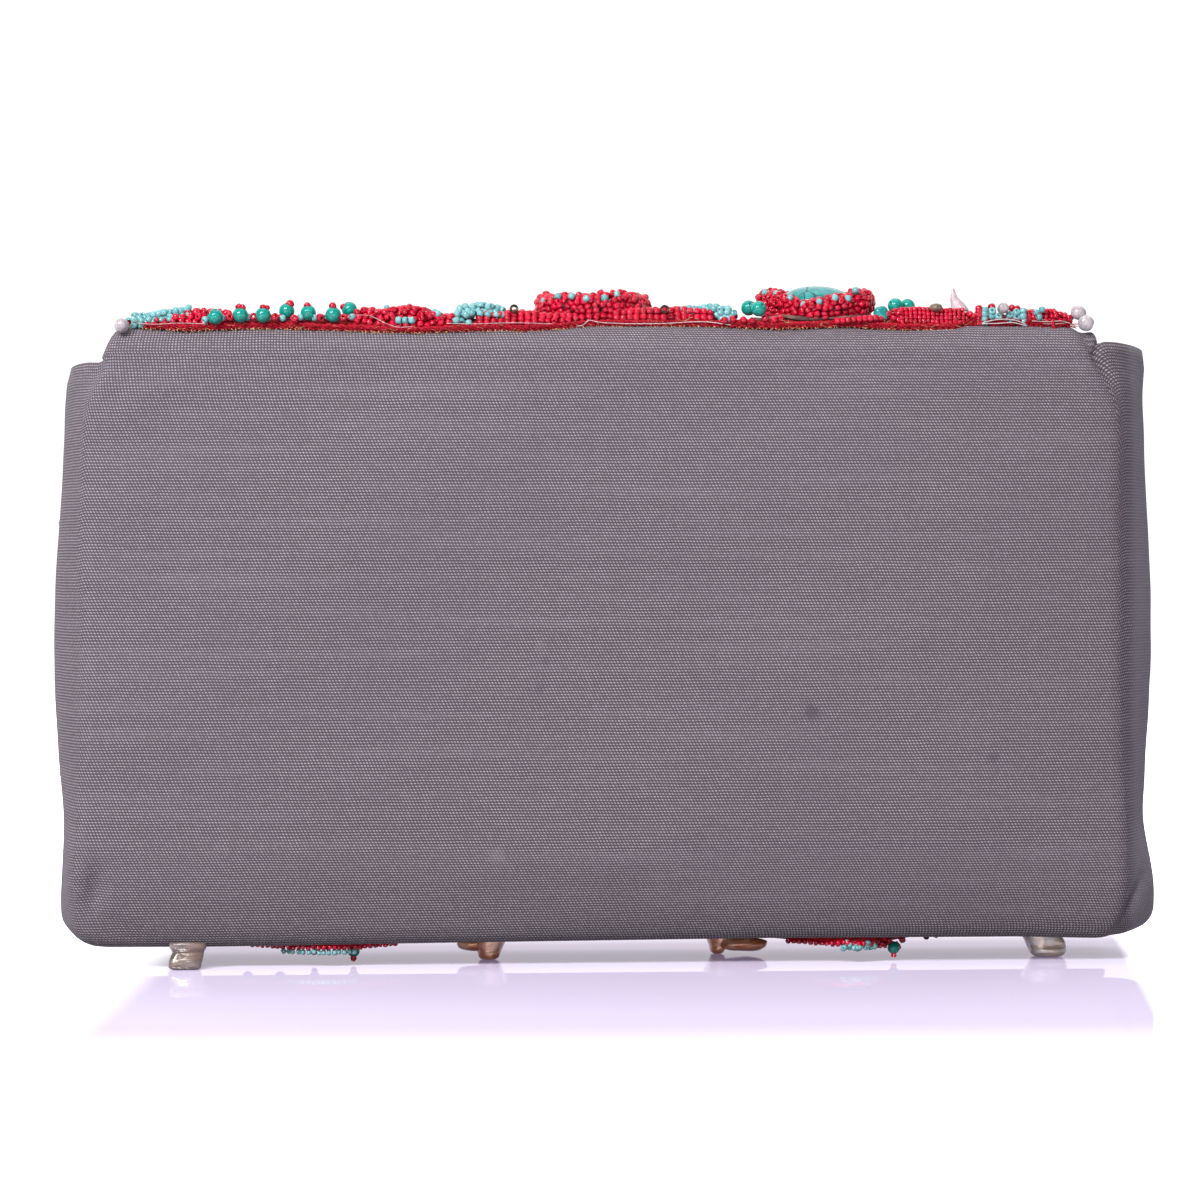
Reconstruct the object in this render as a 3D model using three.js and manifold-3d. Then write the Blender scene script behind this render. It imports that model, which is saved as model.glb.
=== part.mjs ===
import * as THREE from 'three';
import { mergeVertices } from 'three/addons/utils/BufferGeometryUtils.js';
import Module from 'manifold-3d';

// A padded canvas box clutch with a beaded felt flap, standing on shell feet.
// Millimetres, +Z up. The plain canvas back faces -Y and the beaded front +Y.

// Driving dimensions of the bag
const bagWidth = 294; // across the gussets, where the shares below are 1
const bagDepth = 44; // from the back panel to the canvas front of the flap
const bagHeight = 161.7; // from the underside of the canvas to the crown
const footHeight = 7.3; // the feet hold the canvas this far off the floor
const canvasWall = 4; // canvas with its padding and lining
const flapWall = 2.2; // the flap has thinner padding
const feltWall = 1.6;
const backPuff = 2.2; // the padding swells the back panel
const bottomRadius = 10;
const crownRadius = 8; // where the back turns over into the flap
const browRadius = 8; // where the flap turns down over the front
const hemRadius = 8; // where the felt turns under the bag
const clearance = 0.3; // between pieces that rest on each other
const frontShare = 0.6; // the front wall under the flap is this much of the others
const mouthGap = 9.5; // the front wall ends this far below the back wall

// Driving dimensions of the beads and stones
const seedSize = 1.9; // a seed bead across
const seedLaid = 1.5; // and its height where it lies on its side
const tealRadius = 2;
const scallopBeadRadius = 1.65;
const pearlRadius = 1.9;
const metalRadius = 1.2;
const brassRadius = 1.25;
const edgeRadius = 1.7;
const stoneRadius = 1.6;
const bezelRadius = 15.2; // outside of the ring of woven beads
const bezelWall = 4;
const bezelHeight = 6;
const stoneRise = 2.6; // the flatter stone stands this far above its ring
const domeRise = 3.2; // and the domed stone this far
const suedeWall = 0.8;
const suedeMargin = 1.2; // the suede shows this far round its ring
const beadMargin = 3.5; // bare felt round the front beadwork
const spikeHeight = 6.2;
const spikeWidth = 5;
const chipWidth = 4;
const footWidth = 10;
const footDepth = 12;
const armLength = 8.5;
const armThickness = 3;

// How finely round things are cut
const beadSides = 10;
const beadRings = 6;
const ringSides = 20;
const arcSteps = 3;
const flapColumns = 20;

// Places worked out from those sizes
const halfWidth = bagWidth / 2;
const backY = -bagDepth / 2;
const frontY = bagDepth / 2;
const bottomZ = footHeight;
const crownZ = bottomZ + bagHeight;
const hingeZ = crownZ - crownRadius;
const bodyDepth = bagDepth - flapWall - clearance;
const feltTop = clearance + feltWall; // outer face of the felt above the canvas
const beadBase = feltTop + clearance; // where beads start above the canvas
const scallopZ = bottomZ - feltTop; // underside of the felt under the bag

// Heights of the body: shares of the bag's height, and of its half width for
// the back fold and for the crest of each gusset. puff is the share of backPuff.
const heights = [
  { rise: 0.062, fold: 0.945, left: 0.977, right: 1.02, puff: 0.25 },
  { rise: 0.11, fold: 0.947, left: 0.976, right: 1.012, puff: 0.5 },
  { rise: 0.2, fold: 0.945, left: 0.976, right: 1.002, puff: 0.85 },
  { rise: 0.27, fold: 0.94, left: 0.981, right: 1.004, puff: 1 },
  { rise: 0.4, fold: 0.934, left: 0.989, right: 1.013, puff: 1 },
  { rise: 0.64, fold: 0.933, left: 0.987, right: 1.014, puff: 1 },
  { rise: 0.76, fold: 0.931, left: 0.977, right: 1.006, puff: 1 },
  { rise: 0.86, fold: 0.93, left: 0.97, right: 1.002, puff: 0.7 },
  { rise: 0.93, fold: 0.922, left: 0.962, right: 1, puff: 0.4 },
  { rise: 1, fold: 0.9, left: 0.958, right: 0.998, puff: 0.1 },
];

// Stations round one side of the body, from the middle of the back to the middle
// of the front: share of the fold, share of the way out to the crest, share of the depth.
const stations = [
  { out: 0, swell: 0, deep: 0, puff: 1, rim: 'back' },
  { out: 0.34, swell: 0, deep: 0, puff: 1, rim: 'back' },
  { out: 0.66, swell: 0, deep: 0, puff: 1, rim: 'back' },
  { out: 0.87, swell: 0, deep: 0, puff: 0.6, rim: 'back' },
  { out: 0.975, swell: 0, deep: 0.005, puff: 0.05, rim: 'back' },
  { out: 1, swell: 0, deep: 0.06, puff: 0, rim: 'back' },
  { out: 1, swell: 0.45, deep: 0.2, puff: 0, rim: 'side' },
  { out: 1, swell: 0.85, deep: 0.42, puff: 0, rim: 'side' },
  { out: 1, swell: 1, deep: 0.63, puff: 0, rim: 'side' },
  { out: 1, swell: 0.85, deep: 0.87, puff: 0, rim: 'side' },
  { out: 0.995, swell: 0.55, deep: 0.97, puff: 0, rim: 'side' },
  { out: 0.97, swell: 0.4, deep: 1, puff: 0, rim: 'front' },
  { out: 0.66, swell: 0, deep: 1, puff: 0, rim: 'front' },
  { out: 0.33, swell: 0, deep: 1, puff: 0, rim: 'front' },
  { out: 0, swell: 0, deep: 1, puff: 0, rim: 'front' },
];

// How high the rim of the left and right gusset stands above or below the back wall's,
// as a share of the crown's radius
const gussetRims = { left: -0.2, right: 0.36 };

// Half widths of the flap's canvas and of its felt, as shares of the bag's half width
const flapSpans = {
  hinge: { left: 0.885, right: 0.89, feltLeft: 0.835, feltRight: 0.84 },
  crown: { left: 0.868, right: 0.866, feltLeft: 0.84, feltRight: 0.845 },
  brow: { left: 0.885, right: 0.885, feltLeft: 0.87, feltRight: 0.87 },
  shoulder: { left: 0.935, right: 0.94, feltLeft: 0.935, feltRight: 0.94 },
  chest: { left: 0.975, right: 0.985, feltLeft: 0.985, feltRight: 0.99 },
  waist: { left: 0.975, right: 0.985, feltLeft: 0.985, feltRight: 0.99 },
  hem: { left: 0.95, right: 0.96, feltLeft: 0.96, feltRight: 0.965 },
  under: { left: 0.94, right: 0.95, feltLeft: 0.94, feltRight: 0.945 },
};
const feltStart = 0.72; // the felt's back edge lies this many radians back from the crown
const chestShare = 0.3; // of the straight front, from the top down
const waistShare = 0.8;

// The two felt scallops under the bag, as shares of the half width and of the depth
const scallops = [
  { at: -0.503, wide: 0.327, reach: 0.955 },
  { at: 0.442, wide: 0.245, reach: 0.955 },
];
const hemReach = 0.22; // between the scallops the felt reaches this share of the depth

// One closed solid from points and triangles, turned so that its faces point out
function solidOf(points, faces) {
  const volume = faces.reduce((sum, [a, b, c]) => {
    const normal = new THREE.Vector3().crossVectors(points[b], points[c]);
    return sum + points[a].dot(normal);
  }, 0);
  const outward = volume > 0 ? faces : faces.map(([a, b, c]) => [a, c, b]);
  const geometry = new THREE.BufferGeometry().setFromPoints(points);
  geometry.setIndex(outward.flat());
  geometry.computeVertexNormals();
  return geometry;
}

// A solid through rings of points, each with as many, closed by a fan at both ends
function loftOf(rings) {
  const count = rings[0].length;
  const points = rings.flat();
  const faces = [];
  for (let row = 0; row + 1 < rings.length; row += 1) {
    for (let i = 0; i < count; i += 1) {
      const next = (i + 1) % count;
      const [a, b] = [row * count + i, row * count + next];
      faces.push([a, b, b + count], [a, b + count, a + count]);
    }
  }
  for (const [row, first, second] of [[0, 1, 0], [rings.length - 1, 0, 1]]) {
    const middle = new THREE.Vector3();
    rings[row].forEach((point) => middle.addScaledVector(point, 1 / count));
    points.push(middle);
    for (let i = 0; i < count; i += 1) {
      const pair = [row * count + i, row * count + ((i + 1) % count)];
      faces.push([points.length - 1, pair[first], pair[second]]);
    }
  }
  return solidOf(points, faces);
}

// A bent plate between two grids of points, its outer and its inner face
function plateOf(outer, inner) {
  const [rows, columns] = [outer.length, outer[0].length];
  const points = [...outer.flat(), ...inner.flat()];
  const inside = rows * columns;
  const faces = [];
  const quad = (a, b, c, d) => faces.push([a, b, c], [a, c, d]);
  for (let row = 0; row + 1 < rows; row += 1) {
    for (let i = 0; i + 1 < columns; i += 1) {
      const at = row * columns + i;
      quad(at, at + 1, at + columns + 1, at + columns);
      quad(inside + at, inside + at + columns, inside + at + columns + 1, inside + at + 1);
    }
    for (const [at, turned] of [[row * columns, false], [(row + 1) * columns - 1, true]]) {
      const edge = [at, at + columns, inside + at + columns, inside + at];
      quad(...(turned ? edge.reverse() : edge));
    }
  }
  for (let i = 0; i + 1 < columns; i += 1) {
    for (const [at, turned] of [[i, true], [(rows - 1) * columns + i, false]]) {
      const edge = [at, at + 1, inside + at + 1, inside + at];
      quad(...(turned ? edge.reverse() : edge));
    }
  }
  return solidOf(points, faces);
}

// Boolean join of closed geometries
const wasm = await Module();
wasm.setup();
function joinOf(...geometries) {
  const solids = geometries.map((source) => {
    const bare = source.clone();
    bare.deleteAttribute('normal');
    bare.deleteAttribute('uv');
    const merged = mergeVertices(bare);
    const vertProperties = new Float32Array(merged.attributes.position.array);
    const triVerts = new Uint32Array(merged.index.array);
    return new wasm.Manifold(new wasm.Mesh({ numProp: 3, vertProperties, triVerts }));
  });
  const mesh = solids.reduce((whole, solid) => whole.add(solid)).getMesh();
  const geometry = new THREE.BufferGeometry();
  geometry.setAttribute('position', new THREE.BufferAttribute(mesh.vertProperties, 3));
  geometry.setIndex(new THREE.BufferAttribute(mesh.triVerts, 1));
  geometry.computeVertexNormals();
  return geometry;
}

const mix = (from, to, share) => from + (to - from) * share;

// The body

// One ring of the body at a row of the heights table, drawn in by an inset and by a wall
function bodyRing(row, z, inset, wall = 0) {
  const point = (station, side) => {
    const crest = row[side] * halfWidth;
    const fold = row.fold * halfWidth;
    const x = fold * station.out + (crest - fold) * station.swell;
    const puffed = backPuff * row.puff * station.puff;
    const y = (station.deep - 0.5) * bodyDepth - puffed;
    const lift = rimLift(station, side) * row.rise;
    const drawn = inset + wall * (station.rim === 'front' ? frontShare : 1);
    return new THREE.Vector3(
      (side === 'left' ? -x : x) * (1 - drawn / halfWidth),
      y * (1 - drawn / (bodyDepth / 2)) + backY + bodyDepth / 2,
      z + lift,
    );
  };
  const right = stations.map((station) => point(station, 'right'));
  const left = stations.slice(1, -1).map((station) => point(station, 'left'));
  return [...right, ...left.reverse()];
}

// How far the rim at a station stands above the back wall's
function rimLift(station, side) {
  if (station.rim === 'front') return -mouthGap;
  if (station.rim === 'side') return gussetRims[side] * crownRadius;
  return 0;
}

// Hollow, open at the top: up the outside, over the rim and down the inside
function bagBody() {
  const rimZ = hingeZ - clearance / 2;
  const rowZ = (row) => mix(bottomZ, rimZ, row.rise);
  const flatRow = { ...heights[0], rise: 0 };
  const corner = (radius, wall, z) => {
    const rings = [];
    for (let step = 0; step < arcSteps; step += 1) {
      const angle = (step / arcSteps) * (Math.PI / 2);
      const draw = radius * (1 - Math.sin(angle));
      rings.push(bodyRing(flatRow, z + radius * (1 - Math.cos(angle)), draw, wall));
    }
    return rings;
  };
  const outside = heights.map((row) => bodyRing(row, rowZ(row), 0));
  const inside = heights.map((row) => bodyRing(row, rowZ(row), 0, canvasWall));
  const outerCorner = corner(bottomRadius, 0, bottomZ);
  const innerCorner = corner(bottomRadius - canvasWall, canvasWall, bottomZ + canvasWall);
  return loftOf([...outerCorner, ...outside, ...inside.reverse(), ...innerCorner.reverse()]);
}

// The flap

// A point on the crown, a share of its radius in from the crown line: on the arc
// when set is negative, on the flat top when it is positive
function onCrown(x, set, lift) {
  const reach = crownRadius + lift;
  const angle = Math.max(-set, 0);
  return new THREE.Vector3(
    x,
    backY + crownRadius - reach * Math.sin(angle) + Math.max(set, 0) * crownRadius,
    hingeZ + reach * Math.cos(angle),
  );
}

// Rows of the flap's path from the hinge round to the hem: the canvas's outer face,
// its outward direction, and the flap's half widths there
function flapRows(start) {
  const rows = [];
  const spanAt = (from, to, share) => {
    const [a, b] = [flapSpans[from], flapSpans[to]];
    return Object.fromEntries(Object.keys(a).map((key) => [key, mix(a[key], b[key], share)]));
  };
  const arc = (y, z, radius, first, last, from, to) => {
    for (let step = 0; step <= arcSteps; step += 1) {
      const angle = mix(first, last, step / arcSteps);
      const [outY, outZ] = [-Math.sin(angle), Math.cos(angle)];
      const span = spanAt(from, to, step / arcSteps);
      rows.push({ y: y + radius * outY, z: z + radius * outZ, outY, outZ, span });
    }
  };
  const frontHigh = crownZ - browRadius;
  const frontLow = bottomZ + hemRadius;
  arc(backY + crownRadius, hingeZ, crownRadius, start, 0, 'hinge', 'crown');
  arc(frontY - browRadius, frontHigh, browRadius, 0, -Math.PI / 2, 'brow', 'shoulder');
  for (const [share, from, to, along] of [
    [chestShare / 2, 'shoulder', 'chest', 0.6],
    [chestShare, 'shoulder', 'chest', 1],
    [waistShare, 'chest', 'waist', 1],
  ]) {
    const z = mix(frontHigh, frontLow, share);
    rows.push({ y: frontY, z, outY: 1, outZ: 0, span: spanAt(from, to, along) });
  }
  const hemRow = rows.length;
  arc(frontY - hemRadius, frontLow, hemRadius, -Math.PI / 2, -Math.PI, 'hem', 'under');
  return { rows, hemRow };
}

const shareOfColumn = (i, columns) => (2 * i) / columns - 1;

function rowPoints(row, lift, left, right, columns) {
  return Array.from({ length: columns + 1 }, (_, i) => {
    const share = shareOfColumn(i, columns);
    const x = share * halfWidth * (share < 0 ? left : right);
    return new THREE.Vector3(x, row.y + row.outY * lift, row.z + row.outZ * lift);
  });
}

function flapCanvas() {
  const { rows, hemRow } = flapRows(Math.PI / 2);
  rows[0] = { ...rows[0], z: rows[0].z + clearance / 2 };
  const kept = rows.slice(0, hemRow + 1);
  const face = (lift) => kept.map((row) => (
    rowPoints(row, lift, row.span.left, row.span.right, flapColumns / 2)));
  return plateOf(face(0), face(-flapWall));
}

// How far the felt reaches under the bag from its front, at a place across it
function feltReach(x) {
  const humps = scallops.map(({ at, wide, reach }) => {
    const away = Math.min(Math.abs(x / halfWidth - at) / wide, 1);
    return (reach - hemReach) * (0.5 + 0.5 * Math.cos(Math.PI * away));
  });
  return bagDepth * (hemReach + Math.max(...humps));
}

function feltPanel() {
  const { rows } = flapRows(feltStart);
  const columns = flapColumns * 2;
  const face = (lift) => {
    const grid = rows.map((row) => (
      rowPoints(row, lift, row.span.feltLeft, row.span.feltRight, columns)));
    const last = grid[grid.length - 1];
    for (let step = 1; step <= arcSteps; step += 1) {
      grid.push(last.map((point) => {
        const end = frontY - feltReach(point.x);
        return new THREE.Vector3(point.x, mix(point.y, end, step / arcSteps), point.z);
      }));
    }
    return grid;
  };
  return plateOf(face(feltTop), face(clearance));
}

// The bead field on the front stops short of the felt's sides
function beadworkFront() {
  const { rows, hemRow } = flapRows(feltStart);
  const kept = rows.slice(hemRow - 4, hemRow + 1);
  const margin = beadMargin / halfWidth;
  const face = (lift) => kept.map((row) => (
    rowPoints(row, lift, row.span.feltLeft - margin, row.span.feltRight - margin, flapColumns / 2)));
  return plateOf(face(beadBase + seedLaid), face(beadBase));
}

// Bundles of seed beads along the crown

const crownHalf = flapSpans.crown.left * halfWidth;

// Places along the crown are shares of its half width. set is the share of the crown's
// radius in from the crown line, and layers are thicknesses in seed beads.
const tealPlaces = [
  { along: -0.8, set: -0.62, layer: 0 },
  { along: -0.749, set: -0.55, layer: 0 },
  { along: -0.703, set: -0.55, layer: 0 },
  { along: -0.655, set: -0.31, layer: 0 },
  { along: -0.611, set: -0.43, layer: 0 },
  { along: -0.56, set: -0.52, layer: 0 },
  { along: -0.527, set: -0.08, layer: 0 },
  { along: 0.299, set: 0.1, layer: 0 },
  { along: 0.315, set: -0.45, layer: 0 },
  { along: 0.607, set: 0.3, layer: 1 },
  { along: 0.636, set: 0.72, layer: 1 },
];
const tealX = (i) => tealPlaces[i].along * crownHalf;
const besideTeal = tealRadius + clearance;
const bundles = [
  {
    name: 'bead_mound_left', from: -0.972 * crownHalf, to: tealX(0) - besideTeal,
    near: -0.68, far: 0.4, start: 0.7, end: 2, colour: '#3fb8b4',
  },
  {
    name: 'bead_mound_middle', from: tealX(6) + besideTeal, to: -0.322 * crownHalf,
    near: -0.66, far: 0.3, start: 1.7, end: 1.9, colour: '#b3122b',
  },
  {
    name: 'turquoise_loop', from: -0.312 * crownHalf, to: -0.215 * crownHalf,
    near: -0.25, far: 0.6, start: 2, end: 1.9, colour: '#3fb8b4',
  },
  {
    name: 'bead_rows_back', from: -0.29 * crownHalf, to: 0.268 * crownHalf,
    near: -0.66, far: -0.29, start: 1, end: 1, colour: '#b3122b',
  },
  {
    name: 'bead_cluster', from: 0.165 * crownHalf, to: 0.268 * crownHalf,
    near: -0.22, far: 0.4, start: 1.8, end: 2, colour: '#3fb8b4',
  },
  {
    name: 'bead_rows_right', from: 0.592 * crownHalf, to: 0.776 * crownHalf,
    near: -0.66, far: -0.02, start: 1.8, end: 1.8, colour: '#b3122b',
  },
  {
    name: 'bead_rows_far', from: 0.592 * crownHalf, to: 0.776 * crownHalf,
    near: 0.05, far: 1, start: 1, end: 1, colour: '#b3122b',
  },
  {
    name: 'turquoise_ladder', from: 0.786 * crownHalf, to: 0.88 * crownHalf,
    near: -0.62, far: 0.2, start: 1, end: 1, colour: '#3fb8b4',
  },
  {
    name: 'bead_rows_end', from: 0.887 * crownHalf, to: 0.966 * crownHalf,
    near: -0.6, far: 0.5, start: 1.8, end: 1.2, colour: '#b3122b',
  },
];

// A low cushion of beads that follows the crown, lower at its near and far edges
const bundleEdge = 0.55; // its edges are this share of its height
function bundleOf({ from, to, near, far, start, end }) {
  const columns = 4;
  const sets = [near, mix(near, far, 0.3), mix(near, far, 0.7), far];
  const face = (isOuter) => sets.map((set, row) => (
    Array.from({ length: columns + 1 }, (_, i) => {
      const share = i / columns;
      const low = row === 0 || row === sets.length - 1 || i === 0 || i === columns;
      const height = mix(start, end, share) * seedSize * (low ? bundleEdge : 1);
      return onCrown(mix(from, to, share), set, beadBase + (isOuter ? height : 0));
    })));
  return plateOf(face(true), face(false));
}

// Stones in their rings of woven beads

const rowsDepth = crownRadius - (crownRadius + beadBase + seedSize) * Math.sin(0.29);
const bezelY = backY + rowsDepth + clearance + bezelRadius;
const bezels = [
  { name: '1', along: -0.022, dip: 0.06, rise: stoneRise, base: beadBase },
  { name: '2', along: 0.45, dip: 0.3, rise: domeRise, base: beadBase + suedeWall + clearance },
];

// The ring of beads: its back side sags by a share of the ring's height
function bezelRing({ dip }) {
  const profile = [
    { out: bezelRadius - bezelWall, up: 0 },
    { out: bezelRadius - bezelWall * 0.2, up: 0 },
    { out: bezelRadius, up: 0.35 },
    { out: bezelRadius - bezelWall * 0.1, up: 0.8 },
    { out: bezelRadius - bezelWall * 0.45, up: 1 },
    { out: bezelRadius - bezelWall, up: 0.85 },
  ];
  const rings = [];
  for (let i = 0; i < ringSides; i += 1) {
    const angle = (2 * Math.PI * i) / ringSides;
    const sag = 1 - dip * Math.max(-Math.sin(angle), 0) ** 4;
    rings.push(profile.map(({ out, up }) => new THREE.Vector3(
      out * Math.cos(angle), out * Math.sin(angle), up * bezelHeight * sag)));
  }
  const count = profile.length;
  const faces = [];
  for (let i = 0; i < ringSides; i += 1) {
    const here = i * count;
    const there = ((i + 1) % ringSides) * count;
    for (let k = 0; k < count; k += 1) {
      const next = (k + 1) % count;
      faces.push([here + k, here + next, there + next], [here + k, there + next, there + k]);
    }
  }
  return solidOf(rings.flat(), faces);
}

// A polished dome whose girdle is held inside the ring
const girdleShare = 0.6; // of the ring's height
function cabochon({ rise }) {
  const radius = bezelRadius - bezelWall - clearance;
  const girdle = bezelHeight * girdleShare;
  const dome = bezelHeight + rise - girdle;
  const profile = [new THREE.Vector2(0, 0), new THREE.Vector2(radius * 0.96, 0)];
  const domeSteps = 5;
  for (let step = 0; step <= domeSteps; step += 1) {
    const angle = (step / domeSteps) * (Math.PI / 2);
    const x = step === domeSteps ? 0 : radius * Math.cos(angle);
    profile.push(new THREE.Vector2(x, girdle + dome * Math.sin(angle)));
  }
  const geometry = new THREE.LatheGeometry(profile, ringSides);
  geometry.rotateX(Math.PI / 2);
  return geometry;
}

function suedePatch() {
  const geometry = new THREE.CylinderGeometry(
    bezelRadius + suedeMargin, bezelRadius + suedeMargin, suedeWall, ringSides);
  geometry.rotateX(Math.PI / 2);
  return geometry;
}

// Single beads, shells and feet

function roundBead(radius, squash = 1) {
  const geometry = new THREE.SphereGeometry(radius, beadSides, beadRings);
  geometry.rotateX(Math.PI / 2);
  geometry.scale(1, 1, squash);
  return geometry;
}

// A small pebble or shell piece through oval rings, flat at its foot and top
const pebbleRings = [
  { up: 0, wide: 0.76, deep: 0.76 },
  { up: 0.18, wide: 0.92, deep: 0.92 },
  { up: 0.55, wide: 1, deep: 1 },
  { up: 0.85, wide: 0.92, deep: 0.9 },
  { up: 1, wide: 0.74, deep: 0.7 },
];
function pebble(wide, deep, tall, lean = 0) {
  return loftOf(pebbleRings.map((ring) => (
    Array.from({ length: beadSides }, (_, i) => {
      const angle = (2 * Math.PI * i) / beadSides;
      return new THREE.Vector3(
        (wide / 2) * ring.wide * Math.cos(angle) + lean * wide * ring.up,
        (deep / 2) * ring.deep * Math.sin(angle),
        tall * ring.up,
      );
    }))));
}

// A curved white horn that thins to a blunt tip
const spikeRings = [
  { up: 0, wide: 1, shift: 0 },
  { up: 0.3, wide: 0.8, shift: -0.1 },
  { up: 0.55, wide: 0.5, shift: -0.26 },
  { up: 0.8, wide: 0.34, shift: -0.34 },
  { up: 1, wide: 0.2, shift: -0.34 },
];
const spikeFlatness = 0.6;
function shellSpike() {
  return loftOf(spikeRings.map((ring) => (
    Array.from({ length: beadSides }, (_, i) => {
      const angle = (2 * Math.PI * i) / beadSides;
      const half = (spikeWidth / 2) * ring.wide;
      return new THREE.Vector3(
        half * Math.cos(angle) + ring.shift * spikeWidth,
        half * spikeFlatness * Math.sin(angle),
        spikeHeight * ring.up,
      );
    }))));
}

// Feet: shares of the half width and of the depth, sizes as shares of the foot's,
// and the side on which an arm of the shell sticks out
const feet = [
  { along: -0.748, deep: 0.18, wide: 1.02, long: 0.75, arm: 0, felt: false },
  { along: -0.203, deep: 0.6, wide: 0.94, long: 1.25, arm: -0.5, felt: false },
  { along: 0.227, deep: 0.82, wide: 0.92, long: 1.25, arm: 1, felt: true },
  { along: 0.816, deep: 0.52, wide: 1.17, long: 1.2, arm: 0, felt: false },
];
function shellFoot({ wide, long, arm, felt }) {
  const tall = bottomZ - clearance - (felt ? feltTop : 0);
  const body = pebble(footWidth * wide, footDepth * long, tall);
  if (arm === 0) return body;
  const reach = armLength * Math.abs(arm);
  const limb = new THREE.SphereGeometry(1, beadSides, beadRings);
  limb.scale((reach + footWidth * wide * 0.5) / 2, footDepth * 0.2, armThickness / 2);
  const middle = (footWidth * wide * 0.5 + reach) / 2;
  limb.translate(Math.sign(arm) * middle, 0, scallopZ - clearance - armThickness / 2);
  return joinOf(body, limb);
}

// Beads on the scallops: shares of the half width and of the depth
const scallopBeads = [
  { along: -0.645, deep: 0.55 },
  { along: -0.586, deep: 0.53 },
  { along: -0.523, deep: 0.5 },
  { along: -0.452, deep: 0.36 },
  { along: 0.529, deep: 0.31 },
];
const brassBeads = [0.598, 0.62, 0.642];
const brassOffset = 1.7; // radii from the edge of the felt, which runs aslant there

// Beads on the left edge of the front, at shares of the bag's height
const edgeBeads = [
  { name: 'edge_pearl_1', up: 0.678, colour: '#d9cfdd' },
  { name: 'edge_pearl_2', up: 0.652, colour: '#d9cfdd' },
  { name: 'edge_bead', up: 0.337, colour: '#a5786a' },
  { name: 'edge_pearl_3', up: 0.258, colour: '#d9cfdd' },
];

// The assembly

const finishes = {
  canvas: { color: '#80777f', roughness: 0.95, metalness: 0 },
  felt: { color: '#a3202b', roughness: 1, metalness: 0 },
  seed: { color: '#b3122b', roughness: 0.25, metalness: 0 },
  suede: { color: '#6e5148', roughness: 1, metalness: 0 },
  turquoise: { color: '#2fa7a2', roughness: 0.3, metalness: 0 },
  teal: { color: '#0f9b8a', roughness: 0.3, metalness: 0 },
  pearl: { color: '#d8d0d6', roughness: 0.3, metalness: 0 },
  nacre: { color: '#a08a86', roughness: 0.25, metalness: 0 },
  brown: { color: '#6b553f', roughness: 0.5, metalness: 0 },
  metal: { color: '#4a3b33', roughness: 0.4, metalness: 0.8 },
};

const bag = new THREE.Group();
function add(name, geometry, finish, place = new THREE.Vector3(), color = finish.color) {
  const material = new THREE.MeshStandardMaterial({ ...finish, color });
  const mesh = new THREE.Mesh(geometry, material);
  mesh.name = name;
  mesh.position.copy(place);
  bag.add(mesh);
}

add('bag_body', bagBody(), finishes.canvas);
add('flap_canvas', flapCanvas(), finishes.canvas);
add('felt_panel', feltPanel(), finishes.felt);
add('beadwork_front', beadworkFront(), finishes.seed);

bundles.forEach((bundle) => {
  add(bundle.name, bundleOf(bundle), finishes.seed, undefined, bundle.colour);
});

bezels.forEach((bezel) => {
  const place = new THREE.Vector3(bezel.along * crownHalf, bezelY, crownZ + bezel.base);
  add(`bezel_${bezel.name}`, bezelRing(bezel), finishes.seed, place);
  add(`cabochon_${bezel.name}`, cabochon(bezel), finishes.turquoise, place);
});
const patchPlace = new THREE.Vector3(
  bezels[1].along * crownHalf, bezelY, crownZ + beadBase + suedeWall / 2);
add('suede_patch', suedePatch(), finishes.suede, patchPlace);

tealPlaces.forEach(({ along, set, layer }, i) => {
  const lift = beadBase + layer * (seedSize + clearance) + tealRadius;
  add(`teal_bead_${i + 1}`, roundBead(tealRadius), finishes.teal,
    onCrown(along * crownHalf, set, lift));
});

// Single pieces that stand on the felt or on a bundle of beads along the crown
const onFelt = beadBase;
const onOneLayer = beadBase + seedSize + clearance;
const onThickRows = beadBase + 1.8 * seedSize + clearance;
add('turquoise_chip', pebble(chipWidth, chipWidth * 0.8, chipWidth), finishes.turquoise,
  onCrown(0.57 * crownHalf, -0.4, onFelt));
add('metal_bead_1', roundBead(metalRadius), finishes.metal,
  onCrown(-0.19 * crownHalf, -0.45, onOneLayer + metalRadius));
add('metal_bead_2', roundBead(metalRadius), finishes.metal,
  onCrown(0.12 * crownHalf, -0.45, onOneLayer + metalRadius));
add('brown_bead', roundBead(metalRadius * 1.5, 0.6), finishes.brown,
  onCrown(0.684 * crownHalf, -0.3, onThickRows + metalRadius * 0.9));
add('grey_stone', roundBead(stoneRadius), finishes.pearl,
  onCrown(0.825 * crownHalf, -0.25, onOneLayer + stoneRadius), '#8d8389');
add('shell_spike', shellSpike(), finishes.pearl,
  onCrown(0.74 * crownHalf, 0.5, onOneLayer));
add('pearl_1', roundBead(pearlRadius), finishes.pearl,
  onCrown(-0.99 * crownHalf, -0.74, clearance + pearlRadius));
add('pearl_2', roundBead(pearlRadius), finishes.pearl,
  onCrown(0.985 * crownHalf, -0.2, onFelt + pearlRadius));
add('pearl_3', roundBead(pearlRadius), finishes.pearl,
  onCrown(0.998 * crownHalf, -0.62, clearance + pearlRadius));

feet.forEach((foot, i) => {
  const place = new THREE.Vector3(foot.along * halfWidth, backY + foot.deep * bagDepth, 0);
  add(`shell_foot_${i + 1}`, shellFoot(foot), finishes.nacre, place);
});

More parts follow.
